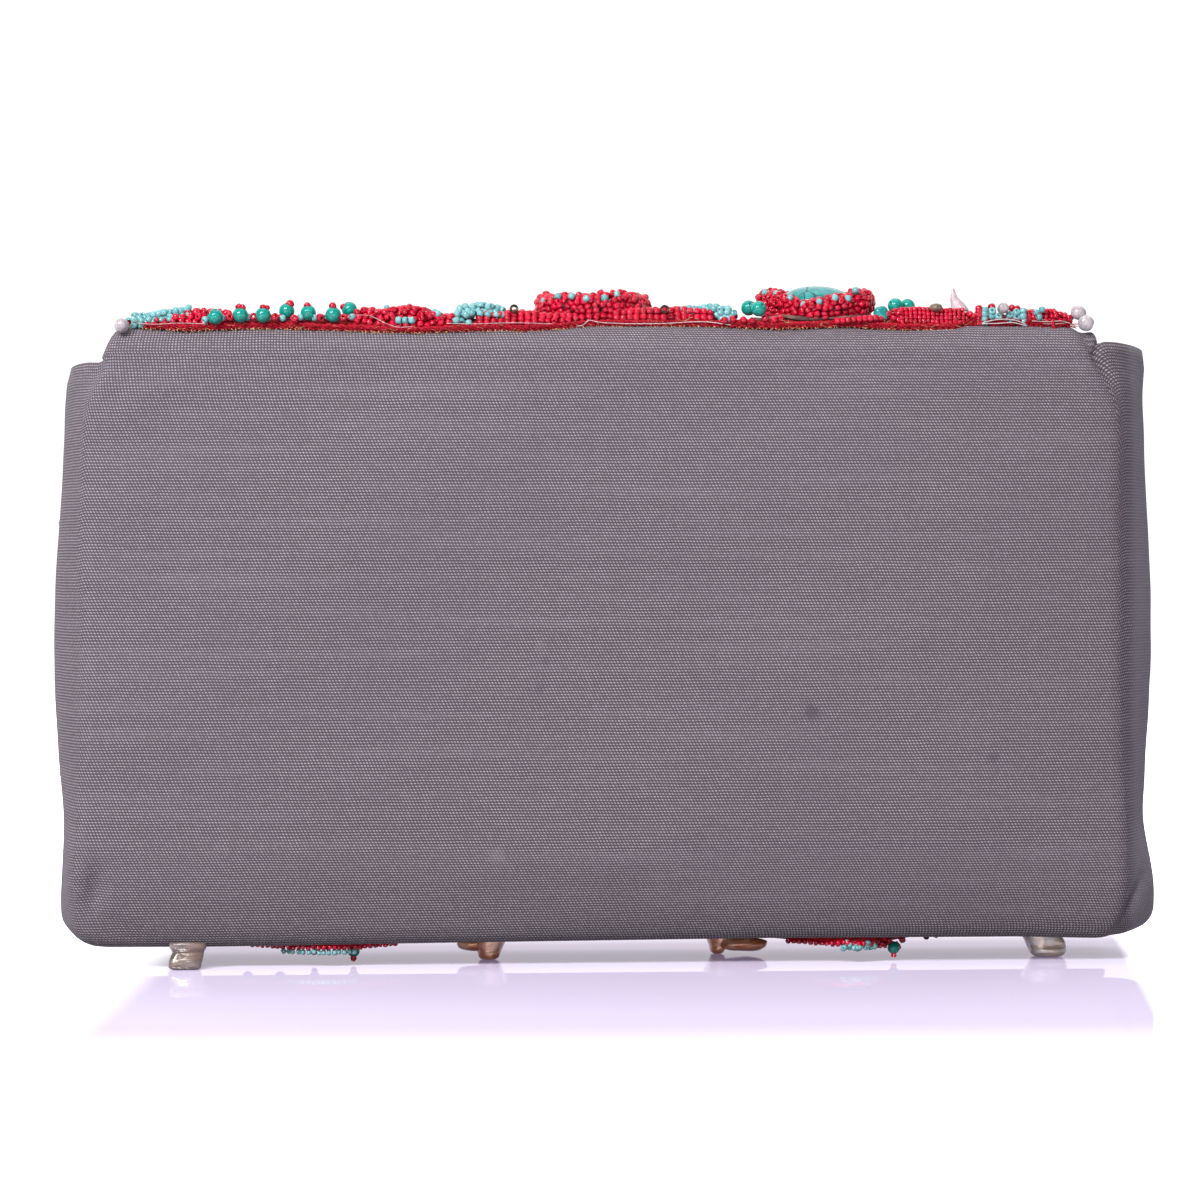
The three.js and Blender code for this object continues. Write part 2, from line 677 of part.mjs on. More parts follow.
const scallopBeadZ = scallopZ - clearance - scallopBeadRadius;
scallopBeads.forEach(({ along, deep }, i) => {
  const place = new THREE.Vector3(along * halfWidth, backY + deep * bagDepth, scallopBeadZ);
  add(`scallop_bead_${i + 1}`, roundBead(scallopBeadRadius), finishes.teal, place);
});
brassBeads.forEach((along, i) => {
  const x = along * halfWidth;
  const y = frontY - feltReach(x) - clearance - brassRadius * brassOffset;
  const place = new THREE.Vector3(x, y, bottomZ - clearance - brassRadius);
  add(`brass_bead_${i + 1}`, roundBead(brassRadius), finishes.metal, place, '#6a5230');
});
edgeBeads.forEach(({ name, up, colour }) => {
  const x = -flapSpans.waist.feltLeft * halfWidth - clearance - edgeRadius;
  const place = new THREE.Vector3(x, frontY + clearance + feltWall / 2, bottomZ + up * bagHeight);
  add(name, roundBead(edgeRadius), finishes.pearl, place, colour);
});

// The origin is under the middle of the bag, on the floor
const box = new THREE.Box3().setFromObject(bag, true);
bag.position.set(-(box.min.x + box.max.x) / 2, -(box.min.y + box.max.y) / 2, -box.min.z);
bag.updateMatrixWorld(true);

export default bag;
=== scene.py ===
import math

import bmesh
import bpy
import numpy as np
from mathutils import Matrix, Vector


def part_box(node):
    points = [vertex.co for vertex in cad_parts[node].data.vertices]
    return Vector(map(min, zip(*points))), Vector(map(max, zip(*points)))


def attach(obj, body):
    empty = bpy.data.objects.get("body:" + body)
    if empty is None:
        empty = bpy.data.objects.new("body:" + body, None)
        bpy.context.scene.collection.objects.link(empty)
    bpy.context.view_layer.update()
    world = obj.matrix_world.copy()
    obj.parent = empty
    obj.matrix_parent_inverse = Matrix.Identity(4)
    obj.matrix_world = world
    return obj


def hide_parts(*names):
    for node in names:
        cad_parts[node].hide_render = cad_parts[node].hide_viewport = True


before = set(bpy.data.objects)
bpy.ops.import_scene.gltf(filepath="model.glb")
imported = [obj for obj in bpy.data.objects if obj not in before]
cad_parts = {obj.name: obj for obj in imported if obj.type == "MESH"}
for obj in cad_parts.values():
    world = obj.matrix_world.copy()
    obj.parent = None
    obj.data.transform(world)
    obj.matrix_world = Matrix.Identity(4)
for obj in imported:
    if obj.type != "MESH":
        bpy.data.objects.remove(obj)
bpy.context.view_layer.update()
scene = bpy.context.scene
mm = 0.001
seeded = np.random.default_rng(11)

# The bag's own sizes, in metres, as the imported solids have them
bag = {
    "halfWidth": 0.147,
    "depth": 0.044,
    "foot": 0.0073,
    "height": 0.1617,
    "crown": 0.008,       # radius where the back turns over into the flap
    "brow": 0.008,        # radius where the flap turns down
    "hem": 0.008,         # radius where the felt turns under
    "puff": 0.0022,
    "clearance": 0.0003,
    "felt": 0.0016,
    "seed": 0.0019,       # a seed bead across
}
crownZ = bag["foot"] + bag["height"]
hingeZ = crownZ - bag["crown"]
feltTop = bag["clearance"] + bag["felt"]
seedHalf = bag["seed"] / 2


def middleOf(name):
    low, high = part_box(name)
    return (low + high) / 2


# The frame's origin is under the middle of the box, so the bag's own middle lies a little aside
middleX = middleOf("teal_bead_1").x + 0.8 * 0.868 * bag["halfWidth"]
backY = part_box("bag_body")[0].y + bag["puff"]
frontY = backY + bag["depth"]


# Small helpers for numbers

def mix(a, b, share):
    return a + (b - a) * share


def smoothStep(low, high, at):
    t = np.clip((np.asarray(at, float) - low) / (high - low), 0, 1)
    return t * t * (3 - 2 * t)


def smoothThrough(places, values, at):
    # A smooth curve through values at places
    places = np.asarray(places, float)
    values = np.asarray(values, float)
    at = np.clip(np.asarray(at, float), places[0], places[-1])
    slopes = np.gradient(values, places)
    i = np.clip(np.searchsorted(places, at) - 1, 0, len(places) - 2)
    gap = places[i + 1] - places[i]
    t = (at - places[i]) / gap
    ease = t * t * (3 - 2 * t)
    start = (t ** 3 - 2 * t ** 2 + t) * gap * slopes[i]
    end = (t ** 3 - t ** 2) * gap * slopes[i + 1]
    return mix(values[i], values[i + 1], ease) + start + end


def softWaves(points, longest, count, seed):
    # A sum of waves in random directions: a smooth, even unevenness from -1 to 1
    draw = np.random.default_rng(seed)
    total = np.zeros(len(points))
    for _ in range(count):
        direction = draw.normal(size=3)
        direction /= np.linalg.norm(direction)
        length = longest * draw.uniform(0.4, 1)
        total += np.sin(points @ direction * (2 * math.pi / length) + draw.uniform(0, 6.28))
    return total / math.sqrt(count)


# Small helpers for meshes

def meshPiece(name, points, faces, uv=None, smooth=True):
    mesh = bpy.data.meshes.new(name)
    mesh.from_pydata(np.asarray(points, float).reshape(-1, 3).tolist(), [], faces)
    mesh.update()
    if smooth:
        mesh.polygons.foreach_set("use_smooth", [True] * len(mesh.polygons))
    if uv is not None:
        corners = np.empty(len(mesh.loops), int)
        mesh.loops.foreach_get("vertex_index", corners)
        layer = mesh.uv_layers.new(name="cloth")
        layer.data.foreach_set("uv", np.asarray(uv, float)[corners].ravel())
    piece = bpy.data.objects.new(name, mesh)
    scene.collection.objects.link(piece)
    return piece


def gridFaces(rows, columns, closed=False, start=0):
    faces = []
    for row in range(rows - 1):
        for i in range(columns if closed else columns - 1):
            next_ = (i + 1) % columns
            a = start + row * columns
            faces.append((a + i, a + next_, a + columns + next_, a + columns + i))
    return faces


def cappedFaces(rows, sides):
    # Faces of a closed solid of rings, flat at both ends
    last = (rows - 1) * sides
    faces = gridFaces(rows, sides, closed=True)
    return faces + [tuple(reversed(range(sides))), tuple(last + i for i in range(sides))]


def turns(sides):
    return [2 * math.pi * i / sides for i in range(sides)]


def joined(name, parts):
    # One piece from (points, faces) pairs
    points, faces, start = [], [], 0
    for partPoints, partFaces in parts:
        points.append(np.asarray(partPoints, float).reshape(-1, 3))
        faces += [tuple(i + start for i in face) for face in partFaces]
        start += len(points[-1])
    return meshPiece(name, np.concatenate(points), faces)


def finishedMesh(piece):
    # Applies the modifiers and leaves a plain mesh
    bpy.context.view_layer.update()
    graph = bpy.context.evaluated_depsgraph_get()
    mesh = bpy.data.meshes.new_from_object(
        piece.evaluated_get(graph), preserve_all_data_layers=True, depsgraph=graph)
    piece.modifiers.clear()
    piece.data = mesh
    return piece


def paint(piece, material):
    piece.data.materials.clear()
    piece.data.materials.append(material)


def dress(piece, material, slot, *nodes):
    # Material, body, slot and the solids that the piece stands for; slot is not used
    if material is not None:
        paint(piece, material)
    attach(piece, "root")
    if nodes:
        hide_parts(*nodes)


def tube(path, radius, sides=6):
    # A closed round tube along points; radius is one value or one for each point
    path = np.asarray(path, float)
    radius = np.broadcast_to(np.asarray(radius, float), (len(path),))
    ahead = np.gradient(path, axis=0)
    ahead /= np.maximum(np.linalg.norm(ahead, axis=1, keepdims=True), 1e-9)
    side = np.cross(ahead, [0.3, 0.2, 0.93])
    side /= np.maximum(np.linalg.norm(side, axis=1, keepdims=True), 1e-9)
    up = np.cross(side, ahead)
    turn = np.arange(sides) * 2 * math.pi / sides
    ring = np.cos(turn)[None, :, None] * side[:, None] + np.sin(turn)[None, :, None] * up[:, None]
    points = (path[:, None] + ring * radius[:, None, None]).reshape(-1, 3)
    return points, [tuple(reversed(face)) for face in cappedFaces(len(path), sides)]


def lathe(profile, sides):
    # A solid of revolution about Z from (radius, height) pairs; a zero radius closes it
    points, faces, rings = [], [], []
    for radius, height in profile:
        ring = []
        for turn in turns(sides)[:None if radius > 0 else 1]:
            ring.append(len(points))
            points.append((radius * math.cos(turn), radius * math.sin(turn), height))
        rings.append(ring)
    for low, high in zip(rings, rings[1:]):
        for i in range(sides):
            j = (i + 1) % sides
            if len(low) == 1:
                faces.append((low[0], high[j], high[i]))
            elif len(high) == 1:
                faces.append((low[i], low[j], high[0]))
            else:
                faces.append((low[i], low[j], high[j], high[i]))
    return np.array(points), faces


# The felt's cut edge at the back, as it dips and rises: x and z in mm seen from behind
feltDips = np.array([
    (-124, 168.3), (-117.4, 168.1), (-109.8, 167.6), (-95, 168.1), (-86, 168.15), (-71, 167.8),
    (-58, 167.45), (-50, 167.25), (-39, 167.6), (-28, 167.9), (-22, 167.7), (-12, 168.3), (-6, 168.8),
    (0, 169.0), (25, 169.0), (35, 168.75), (45, 168.45), (63, 169.0), (79, 168.3), (92, 168.4),
    (96, 169.1), (125, 169.1),
])


def feltStart(x):
    # How far the felt reaches down over the crown at x, as an angle
    low = np.interp(np.asarray(x) / mm, feltDips[:, 0], feltDips[:, 1]) * mm
    return np.arccos(np.clip((low - hingeZ) / (bag["crown"] + bag["clearance"]), -1, 1))


def feltShelf(x):
    # The felt's top at its cut edge
    return hingeZ + (bag["crown"] + feltTop) * float(np.cos(feltStart(x)))


def feltBack(x):
    return backY + bag["crown"] - (bag["crown"] + feltTop) * float(np.sin(feltStart(x)))


def edgePlace(x, z, radius, raised=0.0):
    # Where a bead seen at this height rests on the felt of the crown
    reach = bag["crown"] + feltTop + radius + raised
    share = min((z - hingeZ) / reach, 1)
    angle = min(math.acos(share), float(feltStart(x)) + 0.1)
    return np.array([
        middleX + x, backY + bag["crown"] - reach * math.sin(angle), hingeZ + reach * share])


def cutPlace(x, level):
    # On the felt's cut edge, level 0 at its foot and 1 at its top
    angle = float(feltStart(x)) + 0.06
    reach = bag["crown"] + bag["clearance"] + mix(0.6, 1.35, level) * mm
    return np.array([
        middleX + x, backY + bag["crown"] - reach * math.sin(angle), hingeZ + reach * math.cos(angle)])


# Shader helpers

class Nodes:
    # Adds nodes to a tree and links them
    def __init__(self, tree):
        self.tree = tree

    def link(self, value, socket):
        self.tree.links.new(value, socket)

    def feed(self, node, inputs):
        for key, value in inputs.items():
            if isinstance(value, bpy.types.NodeSocket):
                self.link(value, node.inputs[key])
            else:
                node.inputs[key].default_value = value
        return node

    def add(self, kind, inputs=(), **settings):
        node = self.tree.nodes.new(kind)
        for key, value in settings.items():
            setattr(node, key, value)
        return self.feed(node, dict(inputs))

    def where(self):
        return self.add("ShaderNodeTexCoord").outputs["Object"]

    def math(self, operation, a, b=0.0):
        return self.add("ShaderNodeMath", {0: a, 1: b}, operation=operation).outputs[0]

    def plus(self, a, b):
        return self.math("ADD", a, b)

    def minus(self, a, b):
        return self.math("SUBTRACT", a, b)

    def times(self, a, b):
        return self.math("MULTIPLY", a, b)

    def vector(self, operation, a, b=(0, 0, 0)):
        node = self.add("ShaderNodeVectorMath", {0: a, 1: b}, operation=operation)
        return node.outputs["Value" if operation == "DISTANCE" else "Vector"]

    def colour(self, factor, a, b):
        return self.add("ShaderNodeMix", {0: factor, 6: a, 7: b}, data_type="RGBA").outputs[2]

    def steps(self, value, low, high, to=(0.0, 1.0)):
        inputs = {"Value": value, "From Min": low, "From Max": high, "To Min": to[0], "To Max": to[1]}
        return self.add("ShaderNodeMapRange", inputs, interpolation_type="SMOOTHSTEP").outputs[0]

    def noise(self, vector, scale, detail=2.0, roughness=0.5, output="Fac"):
        inputs = {"Vector": vector, "Scale": scale, "Detail": detail, "Roughness": roughness}
        return self.add("ShaderNodeTexNoise", inputs).outputs[output]

    def group(self, tree, **inputs):
        return self.feed(self.add("ShaderNodeGroup", node_tree=tree), inputs).outputs


def shaderGroup(name, inputs, outputs):
    tree = bpy.data.node_groups.new(name, "ShaderNodeTree")
    kinds = {"vector": "NodeSocketVector", "value": "NodeSocketFloat", "colour": "NodeSocketColor"}
    for key, (kind, value) in inputs.items():
        socket = tree.interface.new_socket(key, in_out="INPUT", socket_type=kinds[kind])
        if value is not None:
            socket.default_value = value
    for key, kind in outputs.items():
        tree.interface.new_socket(key, in_out="OUTPUT", socket_type=kinds[kind])
    nodes = Nodes(tree)
    return tree, nodes, nodes.add("NodeGroupInput").outputs, nodes.add("NodeGroupOutput").inputs


def emptyMaterial(name):
    material = bpy.data.materials.new(name)
    material.use_nodes = True
    material.node_tree.nodes.clear()
    return material, Nodes(material.node_tree)


def newMaterial(name, **principled):
    material, nodes = emptyMaterial(name)
    shader = nodes.add("ShaderNodeBsdfPrincipled")
    for key, value in principled.items():
        shader.inputs[key.replace("_", " ")].default_value = value
    nodes.add("ShaderNodeOutputMaterial", {0: shader.outputs[0]})
    return material, nodes, shader


def bumpInto(nodes, shader, height, distance, strength=1.0):
    bump = nodes.add("ShaderNodeBump", {"Height": height, "Distance": distance, "Strength": strength})
    nodes.link(bump.outputs[0], shader.inputs["Normal"])


# A plain weave: threads float over each other in a brick pattern
def weaveGroup():
    tree, nodes, given, result = shaderGroup("plainWeave", {
        "Vector": ("vector", None), "Across": ("value", 0.00084), "Rows": ("value", 0.00077),
        "Slub": ("value", 0.25), "Lean": ("value", 0.35)}, {"Thread": "value", "Height": "value"})
    split = nodes.add("ShaderNodeSeparateXYZ", {0: given["Vector"]}).outputs
    wander = nodes.noise(given["Vector"], 90.0, 1.0)
    u = nodes.math("DIVIDE", split[0], given["Across"])
    v = nodes.math("DIVIDE", split[1], given["Rows"])
    v = nodes.plus(v, nodes.times(wander, 0.5))
    row = nodes.math("FLOOR", v)
    u = nodes.plus(u, nodes.times(row, 0.42))
    u = nodes.plus(u, nodes.times(wander, 0.7))
    across = nodes.minus(nodes.math("FRACT", u), 0.5)
    along = nodes.minus(nodes.math("FRACT", v), 0.5)
    along = nodes.plus(along, nodes.times(across, given["Lean"]))
    squareA = nodes.math("POWER", nodes.math("ABSOLUTE", nodes.times(across, 1.8)), 2.0)
    squareB = nodes.math("POWER", nodes.math("ABSOLUTE", nodes.times(along, 2.7)), 2.0)
    away = nodes.math("SQRT", nodes.plus(squareA, squareB))
    dash = nodes.steps(away, 0.2, 1.0, (1.0, 0.0))
    column = nodes.math("FLOOR", u)
    cell = nodes.add("ShaderNodeCombineXYZ", {0: column, 1: row}).outputs[0]
    uneven = nodes.add("ShaderNodeTexWhiteNoise", {"Vector": cell}, noise_dimensions="2D").outputs["Value"]
    weaker = nodes.minus(1.0, nodes.times(uneven, given["Slub"]))
    nodes.link(nodes.times(dash, weaker), result["Thread"])
    nodes.link(dash, result["Height"])
    return tree


# A round soft-edged spot about a centre, broken up a little: a stain or a worn place
def spotGroup():
    tree, nodes, given, result = shaderGroup("softSpot", {
        "Vector": ("vector", None), "Centre": ("vector", None), "Radius": ("value", 0.002)},
        {"Mask": "value"})
    far = nodes.vector("DISTANCE", given["Vector"], given["Centre"])
    ragged = nodes.times(nodes.noise(given["Vector"], 900.0, 2.0), 0.6)
    far = nodes.math("DIVIDE", far, given["Radius"])
    far = nodes.plus(far, nodes.minus(ragged, 0.3))
    nodes.link(nodes.steps(far, 0.35, 1.0, (1.0, 0.0)), result["Mask"])
    return tree


# Short crossing fibres, for felt and suede
def fibreGroup():
    tree, nodes, given, result = shaderGroup("fibres", {
        "Vector": ("vector", None), "Scale": ("value", 900.0)}, {"Fibre": "value", "Height": "value"})
    long = nodes.add("ShaderNodeMapping", {"Vector": given["Vector"], "Rotation": (0, 0, 0.6),
                                           "Scale": (1.0, 0.28, 0.6)}).outputs[0]
    other = nodes.add("ShaderNodeMapping", {"Vector": given["Vector"], "Rotation": (0.4, 0.3, -0.8),
                                            "Scale": (0.3, 1.0, 0.7)}).outputs[0]
    a = nodes.noise(long, given["Scale"], 3.0, 0.65)
    b = nodes.noise(other, given["Scale"], 3.0, 0.65)
    both = nodes.math("MAXIMUM", a, b)
    nodes.link(nodes.steps(both, 0.4, 0.75), result["Fibre"])
    nodes.link(both, result["Height"])
    return tree


weave, spot, fibres = weaveGroup(), spotGroup(), fibreGroup()


def canvasMaterial():
    canvasLook = {
        "ground": (0.07, 0.054, 0.068, 1),
        "thread": (0.42, 0.375, 0.415, 1),
        "stains": [  # x, z in mm, radius in mm, strength, darker (1) or paler (0)
            (53.8, 67.5, 2.8, 0.6, 1), (102.0, 55.5, 2.2, 0.35, 1), (-28.8, 29.9, 3.2, 0.1, 0),
            (-17.6, 85.1, 2.0, 0.07, 0), (-17.6, 74.3, 1.9, 0.35, 1), (-16.3, 81.1, 1.6, 0.3, 1),
        ],
    }
    material, nodes, shader = newMaterial(
        "greyCanvas", Roughness=0.9, Sheen_Weight=0.06, Sheen_Roughness=0.5, Specular_IOR_Level=0.2)
    where = nodes.add("ShaderNodeTexCoord").outputs
    woven = nodes.group(weave, Vector=where["UV"], Across=0.00084, Rows=0.00077, Slub=0.35)
    colour = nodes.colour(woven["Thread"], canvasLook["ground"], canvasLook["thread"])
    cloudy = nodes.noise(where["Object"], 16.0, 3.0, 0.6)
    colour = nodes.colour(nodes.steps(cloudy, 0.3, 0.75, (0.0, 0.16)), colour, (0.1, 0.08, 0.105, 1))
    # painted shade: the right gusset, turned away from the key light, is tinted half way to a cool blue-grey
    across = nodes.add("ShaderNodeSeparateXYZ", {0: where["Object"]}).outputs[0]
    gusset = nodes.steps(across, middleX + 0.1385, middleX + 0.1425, (0.0, 0.5))
    colour = nodes.colour(gusset, colour, (0.25, 0.235, 0.29, 1))
    streaky = nodes.add("ShaderNodeMapping", {"Vector": where["UV"], "Scale": (12.0, 260.0, 1.0)}).outputs[0]
    streaks = nodes.noise(streaky, 1.0, 2.0, 0.5)
    colour = nodes.colour(nodes.steps(streaks, 0.45, 0.8, (0.0, 0.1)), colour, (0.3, 0.27, 0.31, 1))
    for x, z, radius, strength, dark in canvasLook["stains"]:
        centre = (middleX + x * mm, backY - bag["puff"], z * mm)
        mask = nodes.group(spot, Vector=where["Object"], Centre=centre, Radius=radius * mm)["Mask"]
        mask = nodes.times(mask, strength)
        colour = nodes.colour(mask, colour, (0.07, 0.055, 0.08, 1) if dark else (0.42, 0.38, 0.42, 1))
    nodes.link(colour, shader.inputs["Base Color"])
    fuzz = nodes.noise(where["Object"], 1500.0, 2.0)
    height = nodes.plus(woven["Height"], nodes.times(fuzz, 0.3))
    bumpInto(nodes, shader, height, 0.00018, 0.7)
    return material


def feltMaterial(name, dark, light, scale=700.0):
    material, nodes, shader = newMaterial(
        name, Roughness=0.95, Sheen_Weight=0.06, Sheen_Roughness=0.6, Specular_IOR_Level=0.1)
    where = nodes.where()
    fibre = nodes.group(fibres, Vector=where, Scale=scale)
    colour = nodes.colour(fibre["Fibre"], dark, light)
    nodes.link(colour, shader.inputs["Base Color"])
    bumpInto(nodes, shader, fibre["Height"], 0.0005, 0.8)
    return material


def seedMaterial():
    # Opaque glass: the bead's attributes kind and tone choose its colour
    kinds = [  # darkest and palest of each kind
        ((0.33, 0.0005, 0.014, 1), (0.56, 0.001, 0.03, 1)),
        ((0.11, 0.3, 0.32, 1), (0.19, 0.41, 0.43, 1)),
        ((0.5, 0.5, 0.5, 1), (0.75, 0.75, 0.78, 1)),
    ]
    material, nodes, shader = newMaterial(
        "glassSeed", Roughness=0.3, Coat_Weight=0.6, Coat_Roughness=0.06, Specular_IOR_Level=0.1)
    tone = nodes.add("ShaderNodeAttribute", attribute_name="tone").outputs["Fac"]
    kind = nodes.add("ShaderNodeAttribute", attribute_name="kind").outputs["Fac"]
    colour = nodes.colour(tone, *kinds[0])
    for number, pair in enumerate(kinds[1:], 1):
        isKind = nodes.math("GREATER_THAN", kind, number - 0.5)
        colour = nodes.colour(isKind, colour, nodes.colour(tone, *pair))
    nodes.link(colour, shader.inputs["Base Color"])
    return material


def stoneMaterial(name, base, pale, vein, veinScale, veinWidth, roughness=0.22):
    # Dyed stone: cloudy, with thin dark veins where cells meet
    material, nodes, shader = newMaterial(
        name, Roughness=roughness, Coat_Weight=0.35, Coat_Roughness=0.08, Specular_IOR_Level=0.25)
    where = nodes.where()
    bent = nodes.noise(where, veinScale * 1.6, 3.0, output="Color")
    bent = nodes.vector("SUBTRACT", bent, (0.5, 0.5, 0.5))
    bent = nodes.add("ShaderNodeVectorMath", {0: bent, "Scale": 0.35 / veinScale},
                     operation="SCALE").outputs[0]
    cells = nodes.add("ShaderNodeTexVoronoi", {
        "Vector": nodes.vector("ADD", where, bent), "Scale": veinScale}, feature="DISTANCE_TO_EDGE")
    cracks = nodes.steps(cells.outputs["Distance"], 0.0, veinWidth, (1.0, 0.0))
    broken = nodes.steps(nodes.noise(where, veinScale * 0.8, 2.0), 0.42, 0.6)
    cloud = nodes.steps(nodes.noise(where, veinScale * 2.5, 3.0, 0.6), 0.4, 0.7)
    colour = nodes.colour(cloud, base, pale)
    mask = nodes.times(cracks, broken)
    colour = nodes.colour(mask, colour, vein)
    nodes.link(colour, shader.inputs["Base Color"])
    rough = nodes.plus(nodes.times(mask, 0.3), roughness)
    nodes.link(rough, shader.inputs["Roughness"])
    bumpInto(nodes, shader, nodes.minus(1.0, mask), 0.0001, 0.5)
    return material


def nacreMaterial(name, dark, pale, patch, sheen):
    # Mother of pearl: growth bands, brown patches and a pearly sheen at the edges
    material, nodes, shader = newMaterial(
        name, Roughness=0.25, Metallic=0.25, Coat_Weight=0.5, Coat_Roughness=0.06, Specular_IOR_Level=0.4)
    where = nodes.where()
    stretched = nodes.add("ShaderNodeMapping", {"Vector": where, "Rotation": (0.5, 0.4, 0.2),
                                                "Scale": (110.0, 110.0, 700.0)}).outputs[0]
    bands = nodes.noise(stretched, 1.0, 4.0, 0.6)
    patches = nodes.noise(where, 190.0, 2.0)
    colour = nodes.colour(nodes.steps(bands, 0.38, 0.62), dark, pale)
    colour = nodes.colour(nodes.steps(patches, 0.48, 0.62, (0.0, 0.6)), colour, patch)
    # painted sheen: the base colour turns towards the sheen colour at grazing angles
    edge = nodes.add("ShaderNodeLayerWeight", {"Blend": 0.35}).outputs["Facing"]
    colour = nodes.colour(nodes.times(edge, 0.35), colour, sheen)
    nodes.link(colour, shader.inputs["Base Color"])
    bumpInto(nodes, shader, bands, 0.0005, 0.8)
    return material


def pearlMaterial(name, low, high):
    material, nodes, shader = newMaterial(
        name, Roughness=0.35, Coat_Weight=0.35, Coat_Roughness=0.15, Sheen_Weight=0.1)
    where = nodes.where()
    patches = nodes.steps(nodes.noise(where, 500.0, 3.0, 0.6), 0.35, 0.7)
    nodes.link(nodes.colour(patches, low, high), shader.inputs["Base Color"])
    bumpInto(nodes, shader, nodes.noise(where, 900.0, 3.0), 0.0002, 0.5)
    return material


def metalMaterial(name, dark, bright):
    material, nodes, shader = newMaterial(name, Metallic=0.85, Roughness=0.38)
    where = nodes.where()
    worn = nodes.steps(nodes.noise(where, 1600.0, 3.0, 0.6), 0.45, 0.65)
    nodes.link(nodes.colour(worn, dark, bright), shader.inputs["Base Color"])
    rough = nodes.plus(nodes.times(worn, -0.15), 0.45)
    nodes.link(rough, shader.inputs["Roughness"])
    bumpInto(nodes, shader, worn, 0.0001, 0.4)
    return material


def threadMaterial(name, low, high):
    material, nodes, shader = newMaterial(name, Roughness=0.85, Specular_IOR_Level=0.15)
    where = nodes.where()
    ply = nodes.steps(nodes.noise(where, 2200.0, 2.0), 0.35, 0.65)
    nodes.link(nodes.colour(ply, low, high), shader.inputs["Base Color"])
    bumpInto(nodes, shader, ply, 0.0001, 0.5)
    return material


look = {
    "canvas": canvasMaterial(),
    "felt": feltMaterial("redFelt", (0.16, 0.003, 0.008, 1), (0.5, 0.01, 0.02, 1)),
    "suede": feltMaterial("brownSuede", (0.07, 0.04, 0.035, 1), (0.22, 0.13, 0.11, 1), 500.0),
    "seed": seedMaterial(),
    "teal": stoneMaterial("tealStone", (0.0, 0.2, 0.16, 1), (0.0, 0.32, 0.27, 1),
                          (0.004, 0.06, 0.05, 1), 420.0, 0.02),
    "dome": stoneMaterial("veinedTurquoise", (0.01, 0.19, 0.19, 1), (0.03, 0.3, 0.29, 1),
                          (0.008, 0.025, 0.02, 1), 170.0, 0.06),
    "nacre": nacreMaterial("nacre", (0.09, 0.065, 0.05, 1), (0.22, 0.175, 0.165, 1), (0.17, 0.1, 0.07, 1),
                           (0.5, 0.45, 0.5, 1)),
    "amberNacre": nacreMaterial("amberNacre", (0.52, 0.15, 0.06, 1), (0.85, 0.38, 0.2, 1),
                                (0.9, 0.62, 0.5, 1), (0.8, 0.55, 0.48, 1)),
    "paleNacre": nacreMaterial("paleNacre", (0.6, 0.48, 0.42, 1), (0.95, 0.9, 0.88, 1), (0.85, 0.62, 0.48, 1),
                               (0.6, 0.55, 0.6, 1)),
    "pearl": pearlMaterial("chalkyPearl", (0.3, 0.25, 0.27, 1), (0.5, 0.45, 0.48, 1)),
    "horn": pearlMaterial("shellHorn", (0.4, 0.3, 0.33, 1), (0.62, 0.54, 0.58, 1)),
    "grey": pearlMaterial("greyStone", (0.16, 0.14, 0.14, 1), (0.38, 0.34, 0.36, 1)),
    "brown": pearlMaterial("brownStone", (0.07, 0.04, 0.025, 1), (0.22, 0.14, 0.09, 1)),
    "oldBrass": metalMaterial("oldBrass", (0.03, 0.018, 0.013, 1), (0.13, 0.085, 0.05, 1)),
    "whiteThread": threadMaterial("whiteThread", (0.4, 0.34, 0.35, 1), (0.62, 0.58, 0.6, 1)),
    "redThread": threadMaterial("redThread", (0.22, 0.004, 0.012, 1), (0.46, 0.012, 0.03, 1)),
    "tanThread": threadMaterial("tanThread", (0.3, 0.12, 0.05, 1), (0.62, 0.4, 0.22, 1)),
}
print("materials made")


# The canvas: one padded skin for the box and its flap

canvas = {
    "span": 0.0023,        # between the skin's points
    "wall": 0.0022,
    "cornerSteps": 16,
    "floorSteps": 6,
}
# Shares as the solid's table has them: height, back fold, left and right crest, puff
heights = np.array([
    (0.000, 0.944, 0.978, 1.022, 0.15), (0.062, 0.945, 0.982, 1.020, 0.25),
    (0.110, 0.947, 0.980, 1.012, 0.50), (0.200, 0.945, 0.976, 1.002, 0.85),
    (0.270, 0.940, 0.981, 1.004, 1.00), (0.400, 0.934, 0.989, 1.013, 1.00),
    (0.640, 0.933, 0.987, 1.014, 1.00), (0.760, 0.931, 0.977, 1.006, 1.00),
    (0.860, 0.930, 0.973, 1.001, 0.70), (0.930, 0.922, 0.971, 0.999, 0.40),
    (1.000, 0.898, 0.966, 1.004, 0.10),
])
# Stations from the middle of the back round to the middle of the front:
# share of the fold, of the way out to the crest, of the depth, and of the puff
stations = np.array([
    (0.00, 0.00, 0.000, 1.00), (0.34, 0.00, 0.000, 1.00), (0.66, 0.00, 0.000, 1.00),
    (0.87, 0.00, 0.000, 0.60), (0.96, 0.00, 0.003, 0.15), (0.988, 0.00, 0.020, 0.00),
    (1.00, 0.02, 0.060, 0.00), (1.00, 0.45, 0.200, 0.00), (1.00, 0.85, 0.420, 0.00),
    (1.00, 1.00, 0.630, 0.00), (1.00, 0.85, 0.870, 0.00), (0.995, 0.55, 0.970, 0.00),
    (0.97, 0.40, 1.000, 0.00), (0.66, 0.00, 1.000, 0.00), (0.33, 0.00, 1.000, 0.00),
    (0.00, 0.00, 1.000, 0.00),
])
bodyDepth = bag["depth"] - canvas["wall"] - bag["clearance"]
rimZ = hingeZ - bag["clearance"] / 2
foldStation = 6     # the back fold
frontStation = 11   # past the crest, where the front begins


